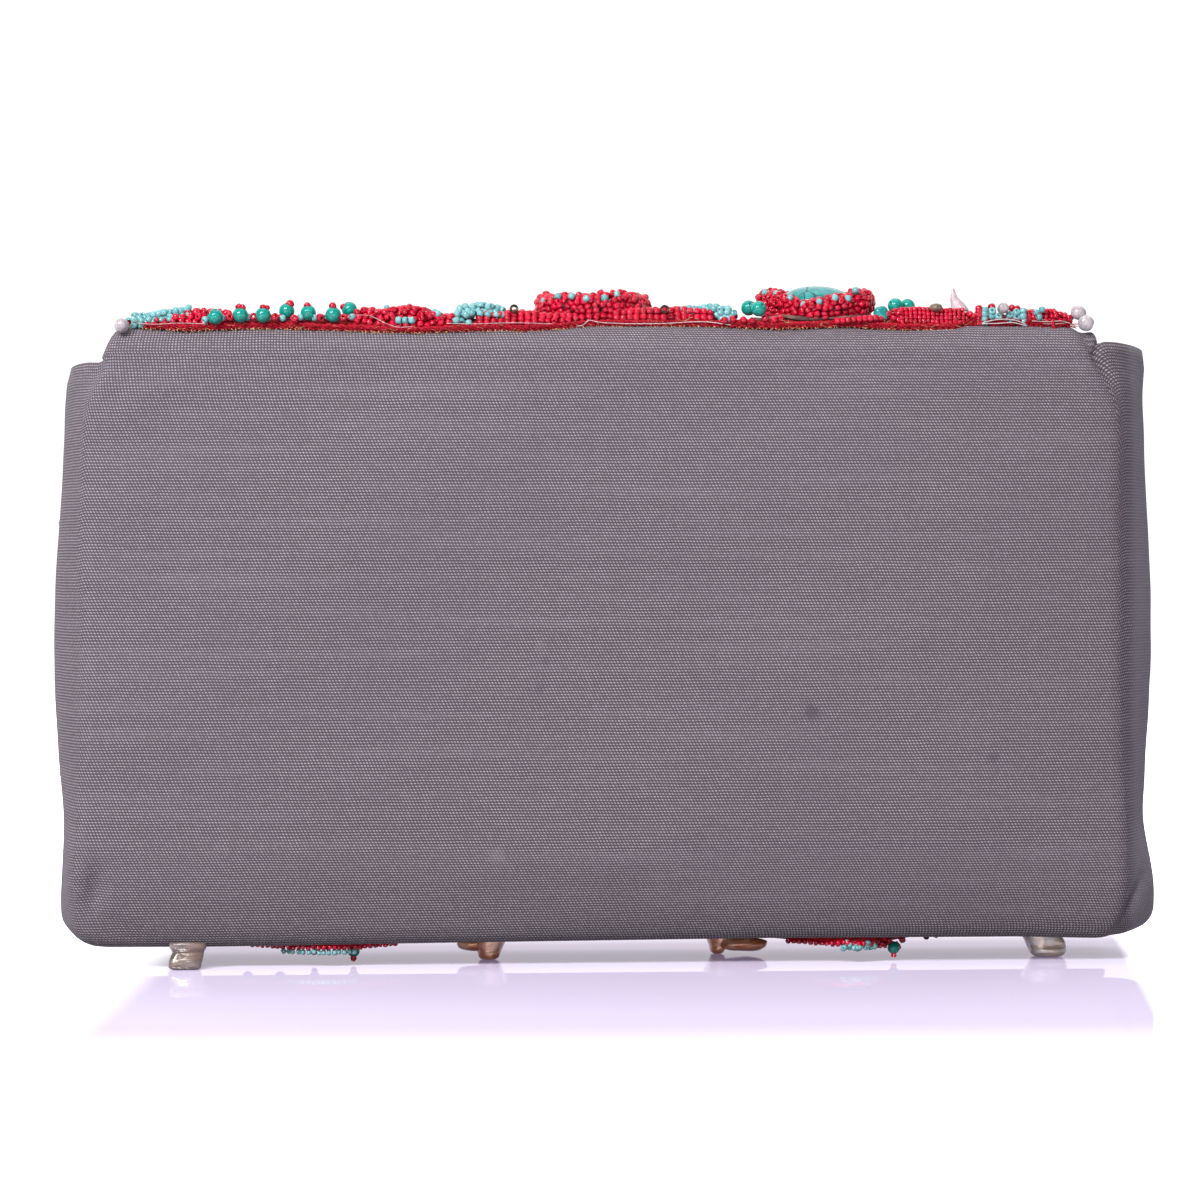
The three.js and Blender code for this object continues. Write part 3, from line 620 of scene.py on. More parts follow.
def alongHalf(t, side, rise, inset, insetY=None):
    # x and y of the half outline at station numbers t, at a height share
    insetY = inset if insetY is None else insetY
    fold = smoothThrough(heights[:, 0], heights[:, 1], rise) * bag["halfWidth"]
    crest = smoothThrough(heights[:, 0], heights[:, 2 if side < 0 else 3], rise) * bag["halfWidth"]
    puff = smoothThrough(heights[:, 0], heights[:, 4], rise) * bag["puff"]
    fold = fold - (side > 0) * 0.002 * smoothStep(0.9, 1, rise)
    number = np.arange(len(stations))
    out, swell, deep, puffed = (smoothThrough(number, stations[:, i], t) for i in range(4))
    x = fold * out + (crest - fold) * swell
    y = (deep - 0.5) * bodyDepth - puff * puffed
    x = x * (1 - inset / bag["halfWidth"])
    y = y * (1 - insetY / (bodyDepth / 2))
    # the gusset's top edge is rounded off at its crest
    x = x - 0.0008 * smoothStep(0.97, 1.0, rise) * swell ** 2
    return middleX + side * x, y + backY + bodyDepth / 2


def stationSteps():
    # Station numbers that lie about one span apart on the middle outline
    t = np.linspace(0, len(stations) - 1, 3000)
    x, y = alongHalf(t, 1, 0.5, 0)
    run = np.concatenate([[0], np.cumsum(np.hypot(np.diff(x), np.diff(y)))])
    foldRun = np.interp(foldStation, t, run)
    crestRun = np.interp(frontStation, t, run)
    legs = [(0, foldRun - 0.012, canvas["span"]), (foldRun - 0.012, foldRun + 0.008, 0.001),
            (foldRun + 0.008, crestRun, canvas["span"]), (crestRun, run[-1], canvas["span"] * 2.5)]
    marks = [0.0]
    for start, end, span in legs:
        count = max(round((end - start) / span), 1)
        marks += list(np.linspace(start, end, count + 1)[1:])
    marks = np.array(marks)
    foldIndex = int(np.argmin(abs(marks - foldRun)))
    return np.interp(marks, run, t), marks, foldIndex


def rimLift(t, side):
    # The gusset's rim is lower than the back on the left and higher on the right; the front's is low
    gusset = (-0.2 if side < 0 else 0.55) * bag["crown"]
    lift = gusset * smoothStep(5.2, 6.4, t) + (-0.0095 - gusset) * smoothStep(10.6, 12, t)
    return lift - (0.0014 if side < 0 else 0.0022) * smoothStep(6.6, 9.4, t) * (t < 11)


def bottomSag(x, y):
    # Under the back edge the padding hangs lower at the left than at the right
    amount = np.interp(x / mm, [-150, -100, -40, 40, 110, 134, 150], [1.9, 1.9, 1.2, 0.5, 0.6, 1.4, 1.4]) * mm
    return amount * (1 - smoothStep(-0.012, 0.004, y - backY - bag["depth"] * 0.35))


corner = {"across": 0.0062, "inward": 0.0085, "tall": 0.024}


def cornerInset(rise):
    # How far the bag has rounded in at this height above its bottom, across and in depth
    a = 1 - min(rise / corner["across"], 1)
    b = 1 - min(rise / corner["tall"], 1)
    return corner["across"] * (1 - math.sqrt(1 - a * a)), corner["inward"] * (1 - math.sqrt(1 - b * b))


def bagSkin():
    t, marks, foldIndex = stationSteps()
    rows = []  # each is (points of the whole ring, height along the cloth)

    def ring(rise, z, inset, insetY, v):
        halves = []
        for side in (1, -1):
            x, y = alongHalf(t, side, rise, inset, insetY)
            lifted = z + rimLift(t, side) * rise ** 3
            lifted = lifted - bottomSag(x - middleX, y) * (1 - smoothStep(0, 0.16, rise))
            halves.append(np.stack([x, y, lifted], 1))
        right, left = halves
        rows.append((np.concatenate([right, left[1:-1][::-1]]), v))

    tall = corner["tall"]
    for step in range(canvas["floorSteps"]):
        share = step / canvas["floorSteps"]
        inset = mix(bodyDepth / 2 - 0.0002, corner["across"], share)
        insetY = mix(bodyDepth / 2 - 0.0002, corner["inward"], share)
        ring(0, bag["foot"], inset, insetY, -tall * 1.2 - (inset - corner["across"]))
    for step in range(canvas["cornerSteps"]):
        up = tall * (1 - math.cos(step / canvas["cornerSteps"] * math.pi / 2))
        inset, insetY = cornerInset(up)
        ring(up / (rimZ - bag["foot"]), bag["foot"] + up, inset, insetY, -tall * 1.2 * (1 - up / tall))
    bodyRows = round((rimZ - bag["foot"] - tall) / canvas["span"])
    low = tall / (rimZ - bag["foot"])
    for row in range(bodyRows + 1):
        rise = mix(low, 1, row / bodyRows)
        ring(rise, mix(bag["foot"], rimZ, rise), 0, 0, (rise - low) * (rimZ - bag["foot"]))
    points = np.concatenate([r for r, _ in rows])
    count = len(rows[0][0])
    around = np.concatenate([marks, -marks[1:-1][::-1]])
    uv = np.concatenate([np.stack([around, np.full(count, v)], 1) for _, v in rows])
    faces = gridFaces(len(rows), count, closed=True)
    faces.append(tuple(reversed(range(count))))

    # The flap goes on from the back's top edge, between the two folds
    right = list(range(foldIndex + 1))
    left = [count - i for i in range(foldIndex, 0, -1)]
    columns = left + right
    last = (len(rows) - 1) * count
    firstRow = [last + c for c in columns]
    share = np.array([around[c] for c in columns]) / marks[foldIndex]
    hinge = points[firstRow]
    path = clothPath(flapSpans, hinge=8, top=7, brow=6, chest=23)
    start = len(points)
    grown, grownUv = [], []
    vEnd = rows[-1][1] + path[0]["z"] - rimZ
    for row in path:
        blend = smoothStep(0, 0.0105, row["run"])
        half = np.where(share < 0, row["left"], row["right"]) * bag["halfWidth"]
        x = middleX + share * half
        # the edges of the crown are soft: they sink and turn in a little
        edge = smoothStep(0.97, 1.0, abs(share))
        rise = 0.0004 + 0.0005 * smoothStep(0.62, 0.7, share)
        sink = edge * 0.0006 - (1 - edge) * rise * smoothStep(0, 0.008, row["run"])
        y = row["y"] - row["outY"] * sink
        z = row["z"] - row["outZ"] * sink
        flat = np.stack([x, np.broadcast_to(y, x.shape), np.broadcast_to(z, x.shape)], 1)
        carried = hinge + np.array([0, row["y"] - backY, row["z"] - rimZ])
        carried[:, 0] = middleX + (carried[:, 0] - middleX) * (
            half / np.where(share < 0, path[0]["left"], path[0]["right"]) / bag["halfWidth"])
        grown.append(carried * (1 - blend) + flat * blend)
        grownUv.append(np.stack([share * marks[foldIndex], np.full(len(share), vEnd + row["run"])], 1))
    points = np.concatenate([points] + grown)
    uv = np.concatenate([uv] + grownUv)
    width = len(columns)
    for i in range(width - 1):
        faces.append((firstRow[i], firstRow[i + 1], start + i + 1, start + i))
    faces += gridFaces(len(path), width, start=start)
    return points, faces, uv


# Half widths of the flap and of the felt, left and right, as shares of the bag's half width
flapSpans = {
    "hinge": (0.898, 0.880), "crown": (0.858, 0.862), "brow": (0.868, 0.868),
    "shoulder": (0.905, 0.910), "chest": (0.975, 0.985), "hem": (0.950, 0.960),
}
feltSpans = {
    "crown": (0.84, 0.845), "brow": (0.862, 0.862), "shoulder": (0.898, 0.902),
    "chest": (0.985, 0.99), "hem": (0.96, 0.965), "under": (0.94, 0.945),
}


def clothPath(spans, lift=0.0, hinge=0, top=12, brow=8, chest=36, under=0):
    # Steps over the top and down the front, with the way outwards and the half widths; the
    # numbers say how many steps each stretch has
    path = []
    crownY, browY = backY + bag["crown"], frontY - bag["brow"]
    low, high = bag["foot"] + bag["hem"], crownZ - bag["brow"]

    def put(y, z, outY, outZ, fromName, toName, share):
        a, b = spans[fromName], spans[toName]
        run = 0.0
        if path:
            run = path[-1]["run"] + math.hypot(y - path[-1]["y"], z - path[-1]["z"])
        path.append({"y": y, "z": z, "outY": outY, "outZ": outZ, "run": run,
                     "left": mix(a[0], b[0], share), "right": mix(a[1], b[1], share)})

    def arc(y, z, radius, first, last, steps, fromName, toName):
        for step in range(steps + 1):
            angle = mix(first, last, step / steps)
            put(y - radius * math.sin(angle), z + radius * math.cos(angle),
                -math.sin(angle), math.cos(angle), fromName, toName, step / steps)

    if hinge:
        arc(crownY, hingeZ, bag["crown"], math.pi / 2 - 0.1, 0, hinge, "hinge", "crown")
    for step in range(1, top):
        put(mix(crownY, browY, step / top), crownZ + lift, 0, 1, "crown", "brow", step / top)
    arc(browY, high, bag["brow"] + lift, 0, -math.pi / 2, brow, "brow", "shoulder")
    for step in range(1, chest if under else chest + 1):
        share = step / chest
        if share < 0.8:
            widths = "shoulder", "chest", min(share / 0.3, 1)
        else:
            widths = "chest", "hem", (share - 0.8) / 0.2
        put(frontY + lift, mix(high, low, share), 1, 0, *widths)
    if under:
        arc(frontY - bag["hem"], low, bag["hem"] + lift, -math.pi / 2, -math.pi, under, "hem", "under")
    return path


# Dents and puckers pressed into the skin: x and z of the middle, half width and height,
# depth, all in mm, and a turn in degrees; y says which part of the depth it belongs to
dents = [
    (-134.0, 21.0, 3.0, 6.0, 1.9, -14, 0.0), (-129.0, 12.0, 6.0, 2.2, 0.8, -25, 0.0),
    (-140.0, 24.0, 3.0, 9.0, -0.8, 0, 0.1),
    (141.0, 17.5, 1.1, 7.5, 1.9, -28, 0.05), (137.5, 9.5, 3.2, 1.6, 0.8, 40, 0.1),
    (147.0, 21.0, 4.0, 7.0, -1.0, 0, 0.2), (146.0, 37.0, 4.0, 8.0, 0.9, 0, 0.2),
    (-133.0, 157.0, 2.4, 8.0, 1.0, -38, 0.0), (131.5, 159.0, 1.5, 9.0, 1.6, 32, 0.05),
    (-120.0, 150.0, 16.0, 3.4, -0.5, 30, 0.0), (118.0, 152.0, 15.0, 3.0, -0.5, -30, 0.0),
    (-20.0, 20.0, 60.0, 5.0, 0.25, 3, 0.0), (70.0, 26.0, 50.0, 6.0, 0.2, -4, 0.0),
]


def pressDents(piece):
    mesh = piece.data
    count = len(mesh.vertices)
    place, normal = np.empty(count * 3), np.empty(count * 3)
    mesh.vertices.foreach_get("co", place)
    mesh.vertices.foreach_get("normal", normal)
    place, normal = place.reshape(-1, 3), normal.reshape(-1, 3)
    shift = np.zeros(count)
    deepness = (place[:, 1] - backY) / bag["depth"]
    for x, z, wide, tall, depth, turn, deep in dents:
        dx = (place[:, 0] - middleX) - x * mm
        dz = place[:, 2] - z * mm
        c, s = math.cos(math.radians(turn)), math.sin(math.radians(turn))
        a, b = dx * c + dz * s, -dx * s + dz * c
        near = np.exp(-(a / (wide * mm)) ** 2 - (b / (tall * mm)) ** 2)
        near *= np.exp(-((deepness - deep) / 0.35) ** 2)
        shift -= near * depth * mm
    onBag = smoothStep(bag["foot"], bag["foot"] + 0.02, place[:, 2]) * (deepness < 0.9)
    shift += softWaves(place * [1, 1, 1.3], 0.11, 9, 3) * 0.00035 * onBag
    shift += softWaves(place, 0.03, 9, 5) * 0.00008 * onBag
    place = place + normal * shift[:, None]
    mesh.vertices.foreach_set("co", place.ravel())
    mesh.update()


def outward(piece):
    # Turns all faces out; the skin is one connected shell
    work = bmesh.new()
    work.from_mesh(piece.data)
    bmesh.ops.remove_doubles(work, verts=work.verts, dist=1e-6)
    bmesh.ops.recalc_face_normals(work, faces=work.faces)
    work.to_mesh(piece.data)
    work.free()


points, faces, uv = bagSkin()
skin = meshPiece("canvasBag", points, faces, uv)
outward(skin)
pressDents(skin)
wall = skin.modifiers.new("wall", "SOLIDIFY")
wall.thickness = canvas["wall"]
wall.offset = -1
wall.use_even_offset = False
finishedMesh(skin)
dress(skin, look["canvas"], "canvas", "bag_body", "flap_canvas")
print("canvas made", len(skin.data.polygons))


# The felt panel, laid over the flap, down the front and under the bag

felt = {
    "hemReach": 0.22,
    "columns": 170,
    "scallops": [(-0.503, 0.327), (0.442, 0.245)],   # middle and half width, shares of the half width
    "scallopReach": 0.83,
    "flatSize": (0.29, 0.248),
}


def feltReach(x):
    humps = []
    for at, wide in felt["scallops"]:
        away = np.minimum(abs(x / bag["halfWidth"] - at) / wide, 1)
        humps.append((felt["scallopReach"] - felt["hemReach"]) * (0.5 + 0.5 * np.cos(math.pi * away)))
    return bag["depth"] * (felt["hemReach"] + np.maximum(*humps))


def feltSheet():
    share = np.linspace(-1, 1, felt["columns"])
    rows = []
    edge = share * feltSpans["crown"][0] * bag["halfWidth"]
    reach = bag["crown"] + feltTop
    for step in range(6):
        angle = feltStart(edge) * (1 - step / 6)
        rows.append(np.stack([edge, backY + bag["crown"] - reach * np.sin(angle),
                              hingeZ + reach * np.cos(angle)], 1))
    for row in clothPath(feltSpans, feltTop, under=8):
        x = share * np.where(share < 0, row["left"], row["right"]) * bag["halfWidth"]
        rows.append(np.stack([x, np.full_like(x, row["y"]), np.full_like(x, row["z"])], 1))
    last = rows[-1]
    end = frontY - feltReach(last[:, 0])
    ragged = 0.0004 * softWaves(last * [1, 0, 0], 0.012, 6, 21)
    for step in range(1, 13):
        row = last.copy()
        row[:, 1] = mix(last[:, 1], end + ragged, step / 12)
        rows.append(row)
    points = np.concatenate(rows)
    points[:, 0] += middleX
    return points, gridFaces(len(rows), felt["columns"])


points, faces = feltSheet()
panel = meshPiece("feltPanel", points, faces)
front = max(panel.data.polygons, key=lambda face: face.center.y)
if front.normal.y < 0:
    panel.data.flip_normals()
wall = panel.modifiers.new("wall", "SOLIDIFY")
wall.thickness = bag["felt"]
wall.offset = -1
finishedMesh(panel)
dress(panel, look["felt"], "felt", "felt_panel")
print("felt made", len(panel.data.polygons))


# Seed beads: places gathered in python, beads set on them by one node tree

def beadTree():
    tree = bpy.data.node_groups.new("beadsOnPoints", "GeometryNodeTree")
    for name, kind in (("Geometry", "Geometry"), ("Bead", "Object"), ("Size", "Float"),
                       ("Finish", "Material")):
        tree.interface.new_socket(name, in_out="INPUT", socket_type="NodeSocket" + kind)
    tree.interface.new_socket("Geometry", in_out="OUTPUT", socket_type="NodeSocketGeometry")
    nodes = Nodes(tree)
    given = nodes.add("NodeGroupInput").outputs
    read = "GeometryNodeInputNamedAttribute"
    turn = nodes.add(read, {"Name": "turn"}, data_type="FLOAT_VECTOR").outputs["Attribute"]
    size = nodes.add(read, {"Name": "size"}, data_type="FLOAT").outputs["Attribute"]
    bead = nodes.add("GeometryNodeObjectInfo", {"Object": given["Bead"]}).outputs["Geometry"]
    rotation = nodes.add("FunctionNodeEulerToRotation", {0: turn}).outputs[0]
    placed = nodes.add("GeometryNodeInstanceOnPoints", {
        "Points": given["Geometry"], "Instance": bead, "Rotation": rotation,
        "Scale": nodes.times(size, given["Size"])}).outputs[0]
    real = nodes.add("GeometryNodeRealizeInstances", {0: placed}).outputs[0]
    finish = nodes.add("GeometryNodeSetMaterial", {"Geometry": real, "Material": given["Finish"]})
    nodes.add("NodeGroupOutput", {0: finish.outputs[0]})
    return tree


def ringShape(sides, section, hole=0.12, height=0.78):
    # A rounded ring 1 across with its hole along Z
    points = []
    for turn in turns(sides):
        for around in turns(section):
            c, s = math.cos(around), math.sin(around)
            out = (0.5 + hole) / 2 + (0.5 - hole) / 2 * c
            points.append((out * math.cos(turn), out * math.sin(turn),
                           height / 2 * math.copysign(abs(s) ** 0.9, s)))
    faces = []
    for i in range(sides):
        for k in range(section):
            a, b = i * section, ((i + 1) % sides) * section
            n = (k + 1) % section
            faces.append((a + k, b + k, b + n, a + n))
    return np.array(points), faces


def ringBead(name, *shape):
    return meshPiece(name, *ringShape(*shape))


red, blue, clear = 0.0, 1.0, 2.0   # the seeds' kinds, as the glass reads them


class Seeds:
    # Places of beads for one piece
    def __init__(self):
        self.place, self.turn, self.size, self.tone, self.kind = [], [], [], [], []

    def add(self, place, hole=(0, 0, 1), size=1.0, kind=red, tone=None, wobble=0.15, drift=0.0):
        hole = Vector(hole) + Vector(seeded.normal(0, wobble, 3))
        self.place.append(np.asarray(place, float) + seeded.normal(0, 1, 3) * drift)
        self.turn.append(tuple(hole.to_track_quat("Z", "Y").to_euler()))
        self.size.append(size * seeded.uniform(0.92, 1.06))
        self.tone.append(seeded.uniform(0, 1) if tone is None else tone)
        self.kind.append(kind)


def beadPiece(name, seeds, bead, slot, *nodes):
    piece = meshPiece(name, seeds.place, [], smooth=False)
    for key, kind in (("turn", "FLOAT_VECTOR"), ("size", "FLOAT"), ("tone", "FLOAT"), ("kind", "FLOAT")):
        layer = piece.data.attributes.new(key, kind, "POINT")
        layer.data.foreach_set("vector" if key == "turn" else "value",
                               np.asarray(getattr(seeds, key), float).ravel())
    spread = piece.modifiers.new("beads", "NODES")
    spread.node_group = beadSpread
    sockets = {item.name: item.identifier for item in beadSpread.interface.items_tree
               if item.in_out == "INPUT"}
    spread[sockets["Bead"]] = bead
    spread[sockets["Size"]] = bag["seed"]
    spread[sockets["Finish"]] = look["seed"]
    finishedMesh(piece)
    piece.data.polygons.foreach_set("use_smooth", [True] * len(piece.data.polygons))
    dress(piece, None, slot, *nodes)


beadSpread = beadTree()
fineBead = ringBead("fineBead", 12, 8)
plainBead = ringBead("plainBead", 9, 6)
roundBead = ringBead("roundBead", 10, 7, 0.08, 0.9)
lowBead = meshPiece("lowBead", *lathe([(0.5, 0), (0.43, 0.24), (0, 0.42)], 7))
beadTall = 1.32 * mm     # beads along a thread
beadStep = 1.55 * mm     # beads along a thread that runs in over the top
laneGap = 1.84 * mm      # threads side by side


def atBack(x, z, inward=0.0):
    # A place over the felt's cut edge, all in mm
    return middleX + x * mm, feltBack(x * mm) + inward * mm, z * mm


def wallOfBeads(seeds, x0, x1, tops, kind=red, untidy=0.0, depth=0.009, gap=laneGap, floor=None, size=1.0):
    # Threads of beads that stand at the felt's edge and run in over the top; x0, x1 and tops,
    # the heights of their upper ends from start to end, are in mm
    x0, x1 = x0 * mm, x1 * mm
    count = max(round((x1 - x0) / gap), 1)
    hole = Vector((untidy, 0.25, 1 - 0.7 * untidy))
    loose = {"wobble": 0.1 + 0.5 * untidy, "drift": (0.06 + 0.22 * untidy) * mm}
    for i in range(count):
        share = (i + 0.5) / count
        start = mix(x0, x1, share)
        low = feltShelf(start) if floor is None else floor
        top = float(np.interp(share, np.linspace(0, 1, len(tops)), tops)) * mm
        rows = max(round((top - low) / beadTall), 1)
        for row in range(rows):
            x = start + (row % 2) * untidy * gap * 0.5
            z = low + (row + 0.5) * ((top - low) / rows)
            place = np.array([middleX + x, feltBack(start) + 0.3 * (z - low), z])
            seeds.add(place, hole, size, kind, **loose)
            if row:
                behind = place + [0.4 * mm, 1.5 * mm, 0.2 * mm]
                seeds.add(behind, hole, size, kind, wobble=0.4, drift=0.15 * mm)
        inward = int(depth / beadStep)
        for k in range(1, inward + 1):
            y = feltBack(start) + 0.3 * (top - low) + k * beadStep
            z = top - 0.75 * mm + 0.25 * mm * math.sin(k * 0.9) - (0.7 * mm if k == inward else 0)
            place = (middleX + start, y, max(z, crownZ + feltTop + 0.4 * seedHalf))
            seeds.add(place, (untidy, 1, 0.1), size, kind, wobble=0.15 + 0.4 * untidy, drift=0.12 * mm)


def rowsOfBeads(seeds, x0, x1, levels, inward=4, gap=1.2 * mm, size=0.74):
    # Threads that run along the edge one above the other, and then side by side in over the top
    x0, x1 = x0 * mm, x1 * mm
    count = round((x1 - x0) / gap)
    for row in range(len(levels) + inward):
        z = levels[min(row, len(levels) - 1)] * mm
        for i in range(count):
            x = mix(x0, x1, (i + 0.5) / count)
            y = feltBack(x) + 0.25 * mm * row + max(row - len(levels) + 1, 0) * 1.2 * mm
            place = (middleX + x, y, z + 0.15 * mm * math.sin(x * 400))
            seeds.add(place, (1, 0, 0), size, wobble=0.08, drift=0.06 * mm)


def ropeOfBeads(seeds, line, across=2, kind=blue, depth=0.6, size=1.05):
    # A rope of beads along (x, z) places in mm seen from behind, two or more beads wide
    line = np.array(line, float)
    run = np.concatenate([[0], np.cumsum(np.hypot(*np.diff(line, axis=0).T))])
    steps = max(int(run[-1] / 1.45), 1)
    for i in range(steps + 1):
        at = run[-1] * i / steps
        x, z = np.interp(at, run, line[:, 0]), np.interp(at, run, line[:, 1])
        ahead = np.array([np.interp(at + 0.5, run, line[:, 0]) - np.interp(at - 0.5, run, line[:, 0]),
                          np.interp(at + 0.5, run, line[:, 1]) - np.interp(at - 0.5, run, line[:, 1])])
        ahead /= max(np.linalg.norm(ahead), 1e-6)
        for k in range(across):
            off = (k - (across - 1) / 2) * 1.55
            place = (middleX + (x - ahead[1] * off) * mm,
                     feltBack(x * mm) + (0.2 + depth * (k % 2)) * mm + 0.3 * max(z - 169.2, 0) * mm,
                     (z + ahead[0] * off) * mm)
            seeds.add(place, (ahead[0], 0.4, ahead[1]), size, kind, wobble=0.5, drift=0.12 * mm)


def leftMound():
    seeds = Seeds()
    ropeOfBeads(seeds, [(-123.2, 169.6), (-118.6, 170.3), (-114.4, 171.4), (-109.2, 172.2)])
    ropeOfBeads(seeds, [(-119.6, 171.0), (-114.4, 172.3), (-109.6, 172.6)], across=1, depth=1.4)
    wallOfBeads(seeds, -115.8, -98.6, (170.0, 172.0, 172.9, 172.9, 172.4), untidy=0.6)
    wallOfBeads(seeds, -124.0, -113.0, (169.9, 171.0), blue, 0.5)
    place = (middleX - 117.3 * mm, feltBack(-0.117) - 0.4 * mm, 170.0 * mm)
    seeds.add(place, (0.5, 0.3, 1), 0.8, tone=0)
    beadPiece("beadMoundLeft", seeds, fineBead, "turquoise_seeds", "bead_mound_left")


def middleMound():
    seeds = Seeds()
    tops = (172.4, 173.5, 172.9, 173.2, 174.0, 173.6, 173.0, 171.8, 171.3)
    wallOfBeads(seeds, -66.2, -40.6, tops, untidy=0.7)
    edge = feltBack(-0.052)
    for x, inward, z, hole, size in ((-57.5, 4, 173.5, (1, 0, 0.2), 1), (-44.2, 0.6, 171.9, (1, 0.3, 0.4), 1),
                                     (-45.0, 1.2, 172.4, (1, 0.3, 0.4), 0.9)):
        seeds.add((middleX + x * mm, edge + inward * mm, z * mm), hole, size, blue)
    for x in (-54.4, -52.7, -51.0):
        seeds.add((middleX + x * mm, edge - 0.6 * mm, 170.1 * mm), (1, -0.45, 0.1), 1.05, blue, wobble=0.1)
    beadPiece("beadMoundMiddle", seeds, fineBead, "red_seeds", "bead_mound_middle")


def backRows():
    seeds = Seeds()
    wallOfBeads(seeds, -34.0, -18.0, (172.4, 172.5, 172.7), depth=0.006)
    wallOfBeads(seeds, -18.0, 2.0, (172.2, 172.0, 172.0, 172.4), untidy=0.3, depth=0.002)
    wallOfBeads(seeds, 2.0, 28.6, (173.0, 173.6, 173.9, 173.6), untidy=0.05, depth=0.006,
                gap=1.72 * mm, size=1.08)
    for x, z in ((29.8, 171.9), (31.2, 170.4), (33.4, 170.8), (34.3, 171.9), (36.2, 170.6), (38.4, 170.3),
                 (42.0, 170.9), (44.2, 170.6), (46.0, 170.9)):
        seeds.add(edgePlace(x * mm, z * mm, seedHalf), (1, 0.2, 0.5), 1.05, wobble=0.4)
    for i in range(9):
        x = mix(61.0, 72.6, i / 8)
        seeds.add(edgePlace(x * mm, (170.4 + 0.9 * i / 8) * mm, seedHalf, 0.0004), (1, 0.1, 0.3))
    beadPiece("beadRowsBack", seeds, fineBead, "red_seeds", "bead_rows_back")


def turquoiseCluster():
    seeds = Seeds()
    ropeOfBeads(seeds, [(20.4, 173.4), (24.0, 173.7), (28.0, 174.0), (32.4, 173.5)], across=1, depth=2)
    ropeOfBeads(seeds, [(21.4, 172.9), (27.0, 173.2)], across=1, depth=3)
    for z in (173.6, 172.2, 170.9):
        for x in (28.6, 30.4, 32.2):
            if z > 172.5 or x > 29:
                place = atBack(x, z, (z - 171.9) * 0.2)
                seeds.add(place, (0.6, 0.3, 0.8), 1.08, blue, wobble=0.5, drift=0.15 * mm)
    place = (middleX + 31.2 * mm, feltBack(0.031) - 0.6 * mm, 170.6 * mm)
    seeds.add(place, (0.3, 0.4, 1), 0.6, clear)
    wallOfBeads(seeds, 28.8, 34.0, (172.8, 173.0), blue, 0.5, floor=crownZ + feltTop)
    beadPiece("beadCluster", seeds, fineBead, "turquoise_seeds", "bead_cluster")


def rightRows():
    seeds = Seeds()
    rowsOfBeads(seeds, 77.6, 95.2, (170.3, 171.35, 172.4, 173.45))
    for x, z in ((74.6, 172.3), (76.3, 172.9), (76.0, 171.3), (77.4, 172.4), (77.3, 170.7)):
        seeds.add(atBack(x, z), (0.3, 0.3, 1), 0.98, wobble=0.4)
    wallOfBeads(seeds, 95.4, 98.4, (173.0, 172.6), untidy=0.8, depth=0.004, size=0.8, gap=1.4 * mm)
    for z in (169.9, 171.0, 172.1, 173.1, 173.9):
        seeds.add(atBack(99.0, z, -0.3), (0, 0.2, 1), 1.08, wobble=0.2)
    beadPiece("beadRowsRight", seeds, fineBead, "red_seeds", "bead_rows_right")
    seeds = Seeds()
    low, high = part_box("bead_rows_far")
    for row in range(5):
        y = mix(low.y, high.y, (row + 0.5) / 5)
        for i in range(20):
            place = (mix(low.x, high.x, (i + 0.5) / 20), y, low.z + seedHalf)
            seeds.add(place, (1, 0, 0), wobble=0.1, drift=0.06 * mm)
    beadPiece("beadRowsFar", seeds, plainBead, "red_seeds", "bead_rows_far")


def endRows():
    seeds = Seeds()
    wallOfBeads(seeds, 111.9, 114.4, (173.4, 173.6), gap=1.3 * mm, untidy=0.2, floor=169.6 * mm)
    wallOfBeads(seeds, 114.8, 124.0, (172.8, 174.0, 173.6, 172.8, 171.8), untidy=0.45,
                floor=170.0 * mm, gap=1.35 * mm, size=0.84)
    for x, z in ((114.3, 172.9), (115.0, 171.6), (115.8, 173.6)):
        seeds.add(atBack(x, z, -0.9), (1, 0.2, 0.2), 0.95, blue)
    beadPiece("beadRowsEnd", seeds, fineBead, "red_seeds", "bead_rows_end")


def turquoiseLoop():
    # A rope two beads wide that rises from the felt and runs in over the top
    seeds = Seeds()
    ropeOfBeads(seeds, [(-37.8, 169.9), (-37.6, 171.0), (-37.3, 172.2)], across=3)
    ropeOfBeads(seeds, [(-38.0, 172.6), (-35.8, 173.5), (-32.0, 173.4), (-27.2, 172.6)], depth=1.2)
    ropeOfBeads(seeds, [(-35.0, 174.1), (-31.0, 173.9)], across=1, depth=2)
    wallOfBeads(seeds, -40.0, -28.2, (172.6, 172.8), blue, 0.5, floor=crownZ + feltTop)
    beadPiece("turquoiseLoop", seeds, fineBead, "turquoise_seeds", "turquoise_loop")


def turquoiseLadder():
    # Upright columns of turquoise with red bits between, in front of the grey stone
    seeds = Seeds()
    for x, top, count in ((100.6, 174.2, 4), (102.6, 173.8, 2), (104.3, 172.4, 1), (107.1, 172.8, 2),
                          (109.0, 173.4, 2), (110.9, 173.8, 4)):
        hole = (0, 0.15, 1) if count > 2 else (0.2, -0.8, 0.5)
        for i in range(count):
            place = atBack(x, top - 0.7 - i * 1.2, -0.3)
            seeds.add(place, hole, 1.12, blue, wobble=0.12, drift=0.08 * mm)
    for x, z in ((103.4, 171.3), (104.6, 170.9), (105.4, 171.5), (103.0, 174.4), (108.4, 174.2),
                 (109.8, 173.9)):
        seeds.add(atBack(x, z, 0.4 if z < 173 else 3), (1, 0.2, 0.3), 1.1, tone=0.1)
    wallOfBeads(seeds, 100.0, 111.5, (172.0, 172.0), red, 0.5, floor=crownZ + feltTop - 0.5 * mm)
    beadPiece("turquoiseLadder", seeds, fineBead, "turquoise_seeds", "turquoise_ladder")


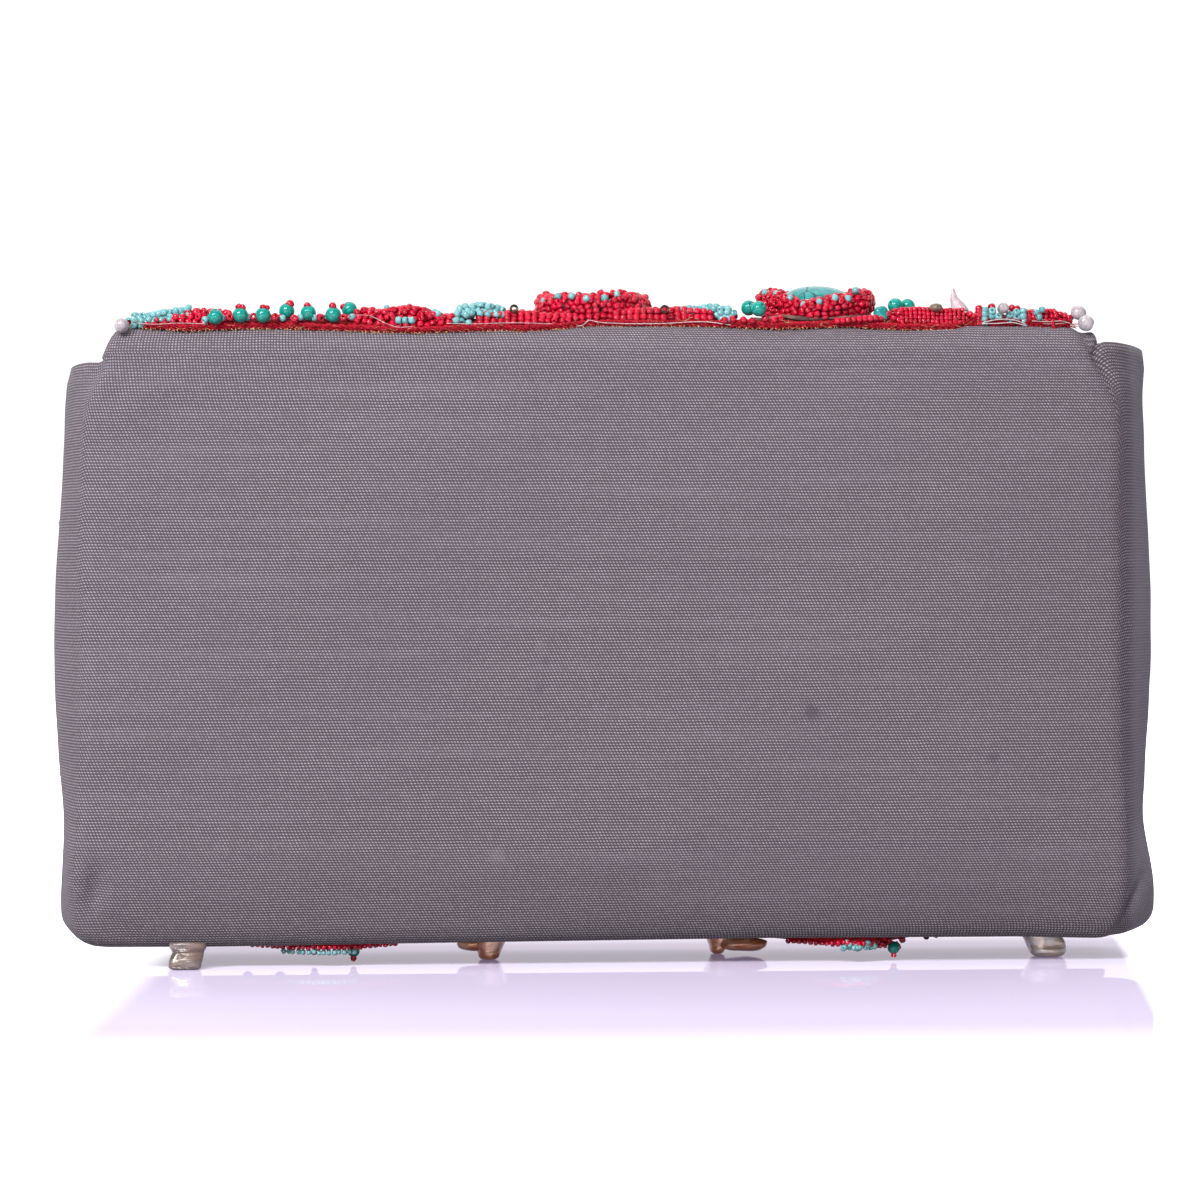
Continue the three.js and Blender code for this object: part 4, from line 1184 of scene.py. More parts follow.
# Loose seeds of the felt between the teal rounds, and single ones elsewhere: x and z in mm
looseSeeds = {
    "reds": [
        (-98.4, 170.5), (-92.2, 170.7), (-86.6, 170.5), (-81.6, 170.2), (-74.8, 170.5), (-68.8, 170.4)],
    "blues": [
        (-104.7, 170.1), (-100.3, 170.6), (-93.6, 170.9), (-90.6, 170.8), (-87.9, 170.9), (-84.6, 170.6),
        (-80.0, 170.9), (-76.2, 170.7), (-73.0, 171.1), (-66.5, 171.0), (-57.5, 173.3), (-44.2, 171.7)],
    "tips": [
        (-103.2, 172.1, 1), (-95.9, 173.9, 1), (-94.9, 173.9, 0.8), (-89.7, 173.8, 1), (-88.6, 173.8, 0.8),
        (-82.7, 174.9, 1.25), (-78.2, 174.4, 1), (-71.6, 174.3, 1), (-68.8, 174.3, 1)],
}


def looseOnes():
    seeds = Seeds()
    for x, z in looseSeeds["reds"]:
        seeds.add(edgePlace(x * mm, (z + 0.3) * mm, seedHalf, 0.0011), (0.3, -1, 0.2), 1.16, wobble=0.3)
        seeds.add(edgePlace(x * mm + 0.0014, z * mm + 0.0004, seedHalf), (1, 0.2, 0.3), 0.95, tone=0)
    for x, z in looseSeeds["blues"]:
        seeds.add(edgePlace(x * mm, min(z * mm, hingeZ + 0.0105), seedHalf, 0.0006), (1, 0.6, 0.2), kind=blue)
    tops = [middleOf(f"teal_bead_{i}") for i in range(1, 12)]
    for x, z, size in looseSeeds["tips"]:
        nearest = min(tops, key=lambda top: abs(top.x - middleX - x * mm))
        place = (middleX + x * mm, nearest.y - 0.0004, z * mm - 0.0005)
        seeds.add(place, (0.6, 0.4, 0.5), size, tone=0.3)
    beadPiece("looseSeeds", seeds, fineBead, "red_seeds")


# Bezels: rings of woven beads that lean out and close over the stone. Out from the middle in mm,
# and the share of the ring's height, row by row from the felt up
bezelRows = [(14.4, 0.08), (15.0, 0.31), (15.4, 0.53), (15.3, 0.74), (14.6, 0.93), (13.2, 1.04), (12.0, 0.98)]
# For each: how wide, how far its foot hangs down at the back, and x and z in mm of its rim at
# the back and of the turquoise seeds there
bezels = {
    1: {"width": 0.945, "drop": 0.0002,
        "rim": [(-19, 175.4), (-16, 175.9), (-11.9, 176.7), (-6, 176.3), (0.4, 176.8), (3.5, 177.4),
                (8, 176.9), (13, 175.6)],
        "blues": [(-15.8, 176.0), (-12.4, 177.0), (-8.9, 177.0), (-5.1, 176.3), (-0.3, 176.6), (3.0, 177.6)]},
    2: {"width": 0.97, "drop": 0.0016,
        "rim": [(41, 178.0), (45.7, 177.8), (49, 176.4), (52.2, 174.9), (56.4, 175.4), (60.6, 176.4),
                (64.3, 176.6), (66.5, 178.0), (73, 177.8)],
        "blues": [(43.3, 178.5), (45.7, 178.1), (49.0, 176.8), (52.2, 175.0), (56.4, 175.7), (60.6, 176.7),
                  (64.3, 176.6), (66.5, 178.8)]},
}
bezelPitch = 2.0


def bezel(number):
    ring = bezels[number]
    low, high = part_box(f"bezel_{number}")
    centre = (low + high) / 2
    rim = np.array(ring["rim"])
    seeds = Seeds()
    for row, (out, share) in enumerate(bezelRows):
        count = round(2 * math.pi * out / bezelPitch)
        for i in range(count):
            turn = 2 * math.pi * (i + 0.5 * (row % 2)) / count
            c, s = math.cos(turn), math.sin(turn)
            back = max(-s, 0) ** 1.5
            x = (centre.x - middleX) / mm + out * c
            top = mix(high.z, float(np.interp(x, rim[:, 0], rim[:, 1])) * mm, min(back * 2, 1))
            foot = low.z - ring["drop"] * back
            bulge = 0.35 * math.sin(5 * turn + number * 2) + 0.25 * math.sin(11 * turn + row)
            bulge += 0.3 * (high.z - top) / mm * share
            outer = (out + (bulge if out > 13.5 else bulge * 0.3)) * mm * ring["width"]
            place = (centre.x + outer * c, centre.y + outer * s, mix(foot, top, share) + 0.3 * mm)
            seeds.add(place, (-s + 0.3 * c, c, 0.5 * (-1) ** i), 1.02, wobble=0.45, drift=0.2 * mm)
    for x, z in ring["blues"]:
        along = max(min((middleX + x * mm - centre.x) / (14.6 * mm), 0.98), -0.98)
        out = 14.9 * mm + 0.3 * max(high.z - z * mm, 0)
        place = (middleX + x * mm, centre.y - out * math.sqrt(1 - along ** 2), z * mm - 0.2 * mm)
        seeds.add(place, (0.4, 0.3, 0.9), 1.0, blue, wobble=0.3)
    beadPiece(f"bezel{number}", seeds, roundBead, "red_seeds", f"bezel_{number}")


def stone(number):
    low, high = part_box(f"cabochon_{number}")
    centre = (low + high) / 2
    radius = (high.x - low.x) / 2 * (1 if number == 1 else 0.88)
    tall = high.z - low.z - (0.0014 if number == 1 else 0.0011)
    girdle = tall * 0.42
    profile = [(0, 0), (radius * 0.96, 0), (radius, girdle * 0.4)]
    for step in range(17):
        angle = step / 16 * math.pi / 2
        out = radius * 1.02 * math.cos(angle) ** 0.9 if step < 16 else 0
        profile.append((out, girdle + (tall - girdle) * math.sin(angle)))
    points, faces = lathe(profile, 56)
    points[:, :2] *= 1 + 0.012 * softWaves(points, 0.02, 6, 40 + number)[:, None]
    points += [centre.x, centre.y, low.z]
    piece = meshPiece(f"stone{number}", points, faces)
    dress(piece, look["dome"], "turquoise", f"cabochon_{number}")


def wrapBack(point):
    # What reaches past the crown line bends down over the edge
    x, y, z = point
    past = (backY + bag["crown"] - y) * 1.75
    if past <= 0:
        return point
    reach = z - hingeZ
    angle = min(past / reach, float(feltStart(x - middleX)) - 0.03)
    return x, backY + bag["crown"] - reach * math.sin(angle), hingeZ + reach * math.cos(angle)


def suedePatch():
    low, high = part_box("suede_patch")
    centre = (low + high) / 2
    radius = (high.x - low.x) / 2
    rings, sides = 7, 72
    points = [(centre.x, centre.y, high.z)]
    for ring in range(1, rings + 1):
        for turn in turns(sides):
            out = radius * ring / rings * (1 + 0.012 * math.sin(9 * turn) + 0.01 * math.sin(17 * turn + 1))
            drop = 0.0004 * (ring / rings) ** 4 * math.sin(5 * turn)
            place = centre.x + out * math.cos(turn), centre.y + out * math.sin(turn), high.z - 0.0001 + drop
            points.append(place)
    faces = [(0, 1 + i, 1 + (i + 1) % sides) for i in range(sides)]
    faces += [(a, d, c, b) for a, b, c, d in gridFaces(rings, sides, closed=True, start=1)]
    piece = meshPiece("suedePatch", [wrapBack(point) for point in points], faces)
    wall = piece.modifiers.new("wall", "SOLIDIFY")
    wall.thickness = high.z - low.z
    wall.offset = -1
    finishedMesh(piece)
    dress(piece, look["suede"], "suede", "suede_patch")


# Round beads with a drilled hole

def drilledBead(radius, hole, sides=22, squash=1.0):
    start = math.asin(hole / radius)
    depth = radius * 0.7 * squash
    profile = [(hole * 0.9, -depth)]
    for step in range(13):
        angle = mix(start, math.pi - start, step / 12)
        profile.append((radius * math.sin(angle), -radius * math.cos(angle) * squash))
    profile.append((hole * 0.9, depth))
    points = [(out * math.cos(turn), out * math.sin(turn), up)
              for out, up in profile for turn in turns(sides)]
    return np.array(points), cappedFaces(len(profile), sides)


def placed(name, shape, place, towards, finish, slot, node):
    # Sets a shape made about the origin to its place, turned towards a direction
    turn = np.array(Vector(towards).to_track_quat("Z", "Y").to_matrix())
    points, faces = shape
    piece = meshPiece(name, np.asarray(points) @ turn.T + np.asarray(place, float), faces)
    dress(piece, look[finish], slot, node)


tealRise = {8: 0.8, 9: 1.5, 10: -0.6, 11: -0.6}   # mm up from the solid


def tealRounds():
    leans = [(0.1, -0.5, 1), (0.15, -0.4, 1), (-0.1, -0.3, 1), (0, -0.2, 1), (0.2, -0.4, 1), (0.3, -0.3, 1),
             (-0.3, -0.2, 1), (0.2, -0.9, 0.6), (0.5, -0.8, 0.5), (-0.9, -0.5, 0.3), (0.4, 0.2, 0.9)]
    for i, lean in enumerate(leans, 1):
        node = f"teal_bead_{i}"
        low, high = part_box(node)
        place = (low + high) / 2 + Vector((0, 0, tealRise.get(i, 0) * mm))
        shape = drilledBead((high.x - low.x) / 2 * 1.02, 0.42 * mm)
        placed(f"tealRound{i}", shape, place, lean, "teal", "teal", node)
    for i in range(1, 6):
        node = f"scallop_bead_{i}"
        low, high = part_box(node)
        # the rounds at the lobe's back edge hang a little further in than their solids
        inward = Vector((0, 0.005, 0.0016)) if i < 4 else Vector((0, 0, 0))
        shape = drilledBead((high.x - low.x) / 2, 0.38 * mm, sides=16)
        placed(f"scallopRound{i}", shape, middleOf(node) + inward, (0, 0, 1), "teal", "teal", node)
    seeds = Seeds()
    for i in (3, 4, 5):
        x, y, z = middleOf(f"scallop_bead_{i}")
        seeds.add((x, y - 0.0003, z - (0.0009 if i == 3 else 0.0019)), (0.3, 1, 0.2), 0.9, tone=1)
    beadPiece("scallopTips", seeds, plainBead, "red_seeds")


def lumpShape(low, high, boxy=2.6, rough=0.04, seed=1, rings=14, sides=22):
    # A rounded lump inside a box, with its own unevenness
    centre, half = (low + high) / 2, (high - low) / 2
    profile = []
    for step in range(rings + 1):
        angle = -math.pi / 2 + math.pi * step / rings
        out = abs(math.cos(angle)) ** (2 / boxy) if 0 < step < rings else 0
        profile.append((out, math.copysign(abs(math.sin(angle)) ** (2 / boxy), math.sin(angle))))
    points, faces = lathe(profile, sides)
    turn = np.arctan2(points[:, 1], points[:, 0])
    reach = (abs(np.cos(turn)) ** boxy + abs(np.sin(turn)) ** boxy) ** (-1 / boxy)
    points[:, :2] *= reach[:, None]
    points *= (1 + rough * softWaves(points, 1.6, 7, seed))[:, None]
    span = np.maximum(points.max(0), -points.min(0))
    return points / span * np.array(half) + np.array(centre), faces


def singles():
    table = [  # node, piece, material, slot, how square, roughness
        ("turquoise_chip", "turquoiseChip", "dome", "turquoise", 2.8, 0.07),
        ("brown_bead", "brownBead", "brown", "brown", 2.2, 0.02),
        ("grey_stone", "greyStone", "grey", "grey", 2.5, 0.08),
        ("pearl_1", "pearl1", "pearl", "pearl", 2.1, 0.03),
        ("pearl_3", "pearl3", "pearl", "pearl", 2.1, 0.03),
        ("edge_pearl_1", "edgePearl1", "pearl", "pearl", 2.1, 0.03),
        ("edge_pearl_2", "edgePearl2", "pearl", "pearl", 2.1, 0.03),
        ("edge_bead", "edgeBead", "brown", "brown", 2.1, 0.03),
        ("edge_pearl_3", "edgePearl3", "pearl", "pearl", 2.1, 0.03),
    ]
    # how far the low and the high corner of the box lie from the solid's, in mm
    sunkBead, sunkStone = (0, 0, -1.3), (0, 0, -0.7)
    nudges = {"brown_bead": (sunkBead, sunkBead), "grey_stone": (sunkStone, sunkStone),
              "pearl_3": ((-0.6, 0, 0.4), (-0.1, 0, 0.9))}
    atEdge = ((2.3, 0.5, 0.5), (1.2, -0.5, -0.5))
    for i, (node, name, finish, slot, boxy, rough) in enumerate(table):
        nudge = nudges.get(node, atEdge if node.startswith("edge") else ((0, 0, 0), (0, 0, 0)))
        low, high = (place + Vector(way) * mm for place, way in zip(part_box(node), nudge))
        piece = meshPiece(name, *lumpShape(low, high, boxy, rough, 60 + i))
        dress(piece, look[finish], slot, node)
    rounds = ("metal_bead_1", "metal_bead_2", "brass_bead_1", "brass_bead_2", "brass_bead_3")
    for i, node in enumerate(rounds):
        low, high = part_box(node)
        points, faces = ringShape(18, 10, 0.22, 0.45)
        shape = points * (high.x - low.x), faces
        name, facing = (f"metalRing{i + 1}", (0.1, -1, 0.25)) if i < 2 else (f"brassBead{i - 1}", (1, 0.3, 0))
        placed(name, shape, (low + high) / 2, facing, "oldBrass", "old_brass", node)
    shape = drilledBead(1.9 * mm, 0.5 * mm, sides=18, squash=1.15)
    placed("pearl2", shape, middleOf("pearl_2"), (0.8, -0.3, -0.5), "pearl", "pearl", "pearl_2")


def spike():
    low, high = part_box("shell_spike")
    wide, tall = high.x - low.x, high.z - low.z
    rings = [(0, 1, 0), (0.12, 0.98, -0.02), (0.3, 0.82, -0.1), (0.48, 0.6, -0.24), (0.62, 0.4, -0.32),
             (0.8, 0.27, -0.36), (0.93, 0.2, -0.37), (1, 0.06, -0.37)]
    sides = 16
    points = [((low.x + high.x) / 2 + wide * (0.12 + shift + out * 0.48 * math.cos(turn)),
               (low.y + high.y) / 2 + wide * out * 0.28 * math.sin(turn),
               low.z + tall * up) for up, out, shift in rings for turn in turns(sides)]
    piece = meshPiece("shellSpike", points, cappedFaces(len(rings), sides))
    dress(piece, look["horn"], "pearl", "shell_spike")


# The four shells on which the bag stands: rings from the floor up, each with its place across,
# half width, place in depth and half depth as shares of the solid's box

def shellFrom(low, high, rings, boxy=3.2, seed=1, rough=0.02, sides=30):
    centre, half = (low + high) / 2, (high - low) / 2
    rings = np.array(rings, float)
    ups = np.linspace(0, 1, 26)
    points = []
    for up in ups:
        x, wide, y, deep = (float(smoothThrough(rings[:, 0], rings[:, i], up)) for i in (1, 2, 3, 4))
        past = max((0.09 - up) / 0.09, (up - 0.95) / 0.05, 0)
        pinch = 0.55 + 0.45 * math.sqrt(max(1 - past ** 2, 0))
        for turn in turns(sides):
            c, s = math.cos(turn), math.sin(turn)
            reach = (abs(c) ** boxy + abs(s) ** boxy) ** (-1 / boxy)
            points.append((centre.x + half.x * (x + wide * c * reach * pinch),
                           centre.y + half.y * (y + deep * s * reach * pinch), mix(low.z, high.z, up)))
    points = np.array(points)
    uneven = softWaves(points, 0.006, 7, seed)[:, None]
    points[:, :2] += (points[:, :2] - [centre.x, centre.y]) * rough * uneven
    return points, cappedFaces(len(ups), sides)


def shellFeet():
    # Two plain shells and two that have an arm
    low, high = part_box("shell_foot_1")
    first = [shellFrom(low, high + Vector((0, 0, 0.0004)), [
        (0.0, -0.14, 0.80, -0.3, 0.62), (0.2, -0.12, 0.84, -0.3, 0.66), (0.45, -0.02, 0.84, -0.2, 0.66),
        (0.62, 0.04, 0.82, -0.05, 0.75), (0.8, 0.02, 0.96, 0, 0.9), (1.0, 0.02, 0.95, 0, 0.9)], 5.0, 71)]
    low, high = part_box("shell_foot_2")
    second = [shellFrom(Vector((high.x - 0.0094, low.y, low.z)), high, [
        (0.0, -0.1, 0.5, -0.4, 0.4), (0.15, -0.06, 0.62, -0.3, 0.6), (0.4, -0.04, 0.74, -0.1, 0.8),
        (0.7, 0, 0.88, 0, 0.9), (1.0, 0.04, 0.96, 0, 0.95)], 2.4, 72, 0.03),
        lumpShape(Vector((low.x, -0.0035 + (low.y + high.y) / 2, high.z - 0.0050)),
                  Vector((high.x - 0.004, 0.0025 + (low.y + high.y) / 2, high.z - 0.0012)), 2.3, 0.03, 82)]
    low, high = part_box("shell_foot_3")
    third = [shellFrom(low, Vector((low.x + 0.0096, high.y, high.z + 0.0012)), [
        (0.0, -0.3, 0.3, -0.5, 0.3), (0.15, -0.26, 0.42, -0.4, 0.5), (0.4, -0.16, 0.6, -0.2, 0.7),
        (0.7, -0.06, 0.84, 0, 0.9), (1.0, 0.02, 0.98, 0, 0.95)], 2.2, 73, 0.03),
        lumpShape(Vector((low.x + 0.0036, low.y - 0.002, high.z - 0.0044)),
                  Vector((high.x - 0.0006, low.y + 0.0052, high.z - 0.0002)), 2.2, 0.04, 83)]
    low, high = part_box("shell_foot_4")
    fourth = [shellFrom(low, high + Vector((0, 0, 0.0004)), [
        (0.0, 0.1, 0.66, -0.3, 0.5), (0.2, 0.14, 0.84, -0.25, 0.7), (0.5, 0.08, 0.92, -0.1, 0.8),
        (0.75, -0.1, 0.9, 0, 0.9), (1.0, -0.16, 0.84, 0, 0.9)], 3.0, 74, 0.03)]
    shells = ((first, "nacre"), (second, "amberNacre"), (third, "amberNacre"), (fourth, "paleNacre"))
    for i, (parts, finish) in enumerate(shells, 1):
        dress(joined(f"shellFoot{i}", parts), look[finish], "nacre", f"shell_foot_{i}")


# The beaded field of the front and the top: low beads in rows, red with turquoise diamonds

field = {"column": 2.06 * mm, "row": 1.76 * mm, "margin": 3.2 * mm, "topRows": 9}


def fieldKind(x, along):
    # Two lines of nested diamonds and a zigzag between them
    diamond = abs((x / 0.048) % 1 - 0.5) * 2 + abs((along / 0.052) % 1 - 0.5) * 2
    step = diamond % 0.5
    return blue if step < 0.09 or 0.98 < diamond < 1.06 else red


def beadField():
    halves = {-1: Seeds(), 1: Seeds()}
    browY, browZ, reach = frontY - bag["brow"], crownZ - bag["brow"], bag["brow"] + feltTop
    rows = []   # each is (y, z, way outwards, half width, run added for the pattern)
    low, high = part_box("beadwork_front")
    upright = int((high.z - low.z) / field["row"])
    for row in range(upright + 1):
        z = low.z + row * (high.z - low.z) / upright
        share = (browZ - z) / (browZ - bag["foot"] - bag["hem"])
        grow = smoothStep(0, 0.3, share) - 0.6 * smoothStep(0.8, 1, share)
        half = mix(0.898, 0.985, float(grow)) * bag["halfWidth"] - field["margin"]
        rows.append((frontY + feltTop + 0.0001, z, (0, 1, 0), half, z))
    # over the brow and along the top, as far in as the stones
    half = 0.862 * bag["halfWidth"]
    arcRows = int(reach * math.pi / 2 / field["row"])
    for row in range(arcRows):
        angle = (row + 0.5) / arcRows * math.pi / 2
        y, z = browY + reach * math.cos(angle), browZ + reach * math.sin(angle)
        rows.append((y, z, (0, math.cos(angle), math.sin(angle)), half, z + reach + frontY - y))
    for row in range(field["topRows"]):
        y, z = browY - (row + 0.5) * field["row"], crownZ + feltTop
        rows.append((y, z, (0, 0, 1), half, z + reach + frontY - y))
    for y, z, up, half, along in rows:
        count = int(2 * half / field["column"])
        for i in range(count):
            x = -half + (i + 0.5) * 2 * half / count
            if not (up[2] and z > crownZ and underStone(x, y)):
                place = (middleX + x, y, z)
                halves[-1 if x < 0 else 1].add(place, up, 1.02, fieldKind(x, along), wobble=0.06)
    beadPiece("beadFieldLeft", halves[-1], lowBead, "red_seeds", "beadwork_front")
    beadPiece("beadFieldRight", halves[1], lowBead, "red_seeds")


def underStone(x, y):
    for node in ("bezel_1", "suede_patch"):
        low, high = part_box(node)
        centre = (low + high) / 2
        if math.hypot(middleX + x - centre.x, y - centre.y) < (high.x - low.x) / 2 + 0.0008:
            return True
    return False


# Seeds along the edges of the two felt lobes under the bag

def lobeEdge(x):
    return frontY - float(feltReach(np.array(x * mm)))


def lobeSeeds():
    seeds = Seeds()
    under = bag["foot"] - feltTop
    lobes = (  # from, to, and for each row how far in and its kind
        (-94.5, -55, ((0.2, red), (1.5, red), (0.9, blue))), (50, 72, ((0.2, red), (1.6, red), (3.3, red))))
    for x0, x1, rows in lobes:
        for inward, kind in rows:
            x = x0
            while x < x1:
                drop = 0.3 if inward > 1 else 0.0 if kind == red else 1.45
                if kind == red or -86 < x < -66:
                    place = (middleX + x * mm, lobeEdge(x) + inward * mm, under - drop * mm)
                    seeds.add(place, (1, 0, 0), 0.8, kind, wobble=0.25, drift=0.12 * mm)
                x += 1.35
    draw = np.random.default_rng(44)
    tufts = (  # how many, across, up, in, how low, size, kind, tone
        (26, (62.5, 72.5), (-1.0, 0.9), (-0.4, 1.4), 0.6, 0.85, blue, None),
        (40, (70, 80.5), (-0.9, 1.2), (-0.8, 1.6), 0.4, 0.7, red, 0.1))
    for count, across, ups, inward, drop, size, kind, tone in tufts:
        for _ in range(count):
            x, up = draw.uniform(*across), draw.uniform(*ups)
            place = (middleX + x * mm, lobeEdge(x) + draw.uniform(*inward) * mm, under + (up - drop) * mm)
            seeds.add(place, draw.normal(size=3), size, kind, tone=tone)
    for x, z in ((79.0, 3.6), (80.6, 5.2)):
        seeds.add((middleX + x * mm, lobeEdge(x) - 1.2 * mm, z * mm), (1, 0.2, 0.4), 1.05)
    beadPiece("lobeSeeds", seeds, plainBead, "red_seeds")


leftMound()
middleMound()
backRows()
turquoiseCluster()
rightRows()
endRows()
lobeSeeds()
turquoiseLoop()
turquoiseLadder()
looseOnes()
bezel(1)
bezel(2)
stone(1)
stone(2)
suedePatch()
tealRounds()
singles()
spike()
shellFeet()
beadField()
for pattern in (fineBead, plainBead, roundBead, lowBead):
    bpy.data.objects.remove(pattern)
print("beads and stones made")


# Threads and fray along the felt's back edge

fray = {"strands": 2, "radius": 0.00036, "twist": 0.0036, "hairs": 330}


def feltEdge():
    # Two twisted cords, one at the foot and one at the top of the cut edge
    left, right, steps = -120.5, 94.5, 700
    parts = []
    for level, shade in ((0.0, 0.0), (1.0, 0.5)):
        for strand in range(fray["strands"]):
            path, radii = [], []
            for i in range(steps + 1):
                x = mix(left, right, i / steps)
                turn = (x * mm / fray["twist"] + strand / fray["strands"] + shade) * 2 * math.pi
                twist = np.array([0, math.cos(turn) * 0.3 * mm, math.sin(turn) * 0.3 * mm])
                path.append(cutPlace(x * mm, level) + twist)
                radii.append(fray["radius"] * (1 + 0.15 * math.sin(x * 1.7 + strand)))
            parts.append(tube(path, radii, 6))
    dress(joined("feltEdge", parts), look["redThread"], "felt")


def frayedTips():
    # Short ends of tan thread that hang from the felt's edge, in small tufts
    draw = np.random.default_rng(33)
    parts = []
    x = -121.0
    while x < 94.0:
        for _ in range(draw.integers(1, 4)):
            start = cutPlace((x + draw.uniform(-0.3, 0.3)) * mm, 0) - [0, 0.3 * mm, 0.3 * mm]
            way = np.array([draw.normal(0.25, 0.5), -0.35, -1])
            way *= draw.uniform(0.4, 0.9) * mm / np.linalg.norm(way)
            bend = np.array([draw.normal(0, 0.25), 0, 0]) * mm
            path = [start, start + way * 0.5 + bend * 0.3, start + way + bend]
            parts.append(tube(path, [0.1 * mm, 0.09 * mm, 0.04 * mm], 5))
        x += draw.uniform(0.7, 1.5)
    dress(joined("frayedTips", parts), look["tanThread"], "felt")


def hairs(name, finish, slot, count, spans, length, thickness, seed):
    draw = np.random.default_rng(seed)
    parts = []
    for _ in range(count):
        low, high = spans[draw.integers(len(spans))]
        x = draw.uniform(low, high)
        start = cutPlace(x * mm, draw.uniform(-0.4, 1.5)) - [0, 0.4 * mm, 0]
        reach = draw.uniform(*length) * mm
        heading = draw.uniform(-math.pi, math.pi)
        curl = draw.uniform(-2.5, 2.5)
        path = [start]
        for step in range(5):
            angle = heading + curl * step / 5
            way = np.array([math.cos(angle), -0.25 * draw.uniform(0, 1), math.sin(angle) * 0.55])
            path.append(path[-1] + way * reach / 5)
        parts.append(tube(path, thickness * mm * draw.uniform(0.6, 1.2), 4))
    dress(joined(name, parts), look[finish], slot)


def threadAlong(table, lift, thickness):
    # A thread through (x, z) places in mm on the crown
    x, z = np.array(table, float).T
    run = np.concatenate([[0], np.cumsum(np.hypot(np.diff(x), np.diff(z)))])
    at = np.linspace(0, run[-1], max(int(run[-1] / 0.8), 6))
    path = [edgePlace(a * mm, min(b * mm, hingeZ + 0.0104), lift, max(b * mm - hingeZ - 0.0104, 0))
            for a, b in zip(smoothThrough(run, x, at), smoothThrough(run, z, at))]
    return tube(path, thickness * mm, 6)


def threads():
    white = [
        ([(-122.5, 169.2), (-118, 168.9), (-112, 169.2), (-104, 169.0)], 0.0008, 0.07),
        ([(-67.0, 173.6), (-61.5, 171.2), (-57.0, 168.9), (-55.0, 168.3), (-51, 168.4)], 0.0021, 0.06),
        ([(-42, 169.3), (-35, 169.2), (-26, 169.5), (-14, 169.3)], 0.0014, 0.07),
        ([(-7.6, 168.8), (-6.3, 169.0), (-4.4, 170.4), (-2.7, 170.0), (3, 169.6), (14.6, 169.6),
          (27, 170.0), (33, 169.2)], 0.0012, 0.1),
        ([(100.2, 170.2), (103, 170.8), (106, 171.0), (109, 170.6), (111.6, 169.6)], 0.0022, 0.13),
        ([(99.6, 169.8), (104, 169.9), (108, 170.1), (111.8, 169.2)], 0.0022, 0.13),
        ([(113, 170.6), (118, 170.4), (121, 170.6), (123.6, 169.8)], 0.0016, 0.08),
        ([(116, 169.9), (119, 169.8), (123, 170.2)], 0.0012, 0.06),
    ]
    loose = [
        ([(120.4, 172.4), (120.2, 174.3), (120.0, 176.2)], 0.0008, 0.2),
        ([(119.0, 167.4), (118.8, 169.2), (118.6, 170.5)], 0.001, 0.5),
    ]
    for name, finish, table in (("whiteThreads", "whiteThread", white), ("redThreads", "redThread", loose)):
        dress(joined(name, [threadAlong(*row) for row in table]), look[finish], "felt")


feltEdge()
frayedTips()
whole = [(-122.0, 121.0)]
ends = [(95.0, 124.0)]
hairs("redHairs", "redThread", "felt", fray["hairs"], whole + ends, (0.8, 2.6), 0.05, 31)
hairs("redShreds", "redThread", "felt", 260, ends, (1.2, 3.4), 0.12, 34)
hairs("tanHairs", "tanThread", "felt", 190, whole, (0.8, 2.8), 0.055, 32)
threads()
print("threads made")


# Stage, light and camera

def stageSheet(name, corners, material):
    sheet = meshPiece(name, corners, [(0, 1, 2, 3)], smooth=False)
    paint(sheet, material)


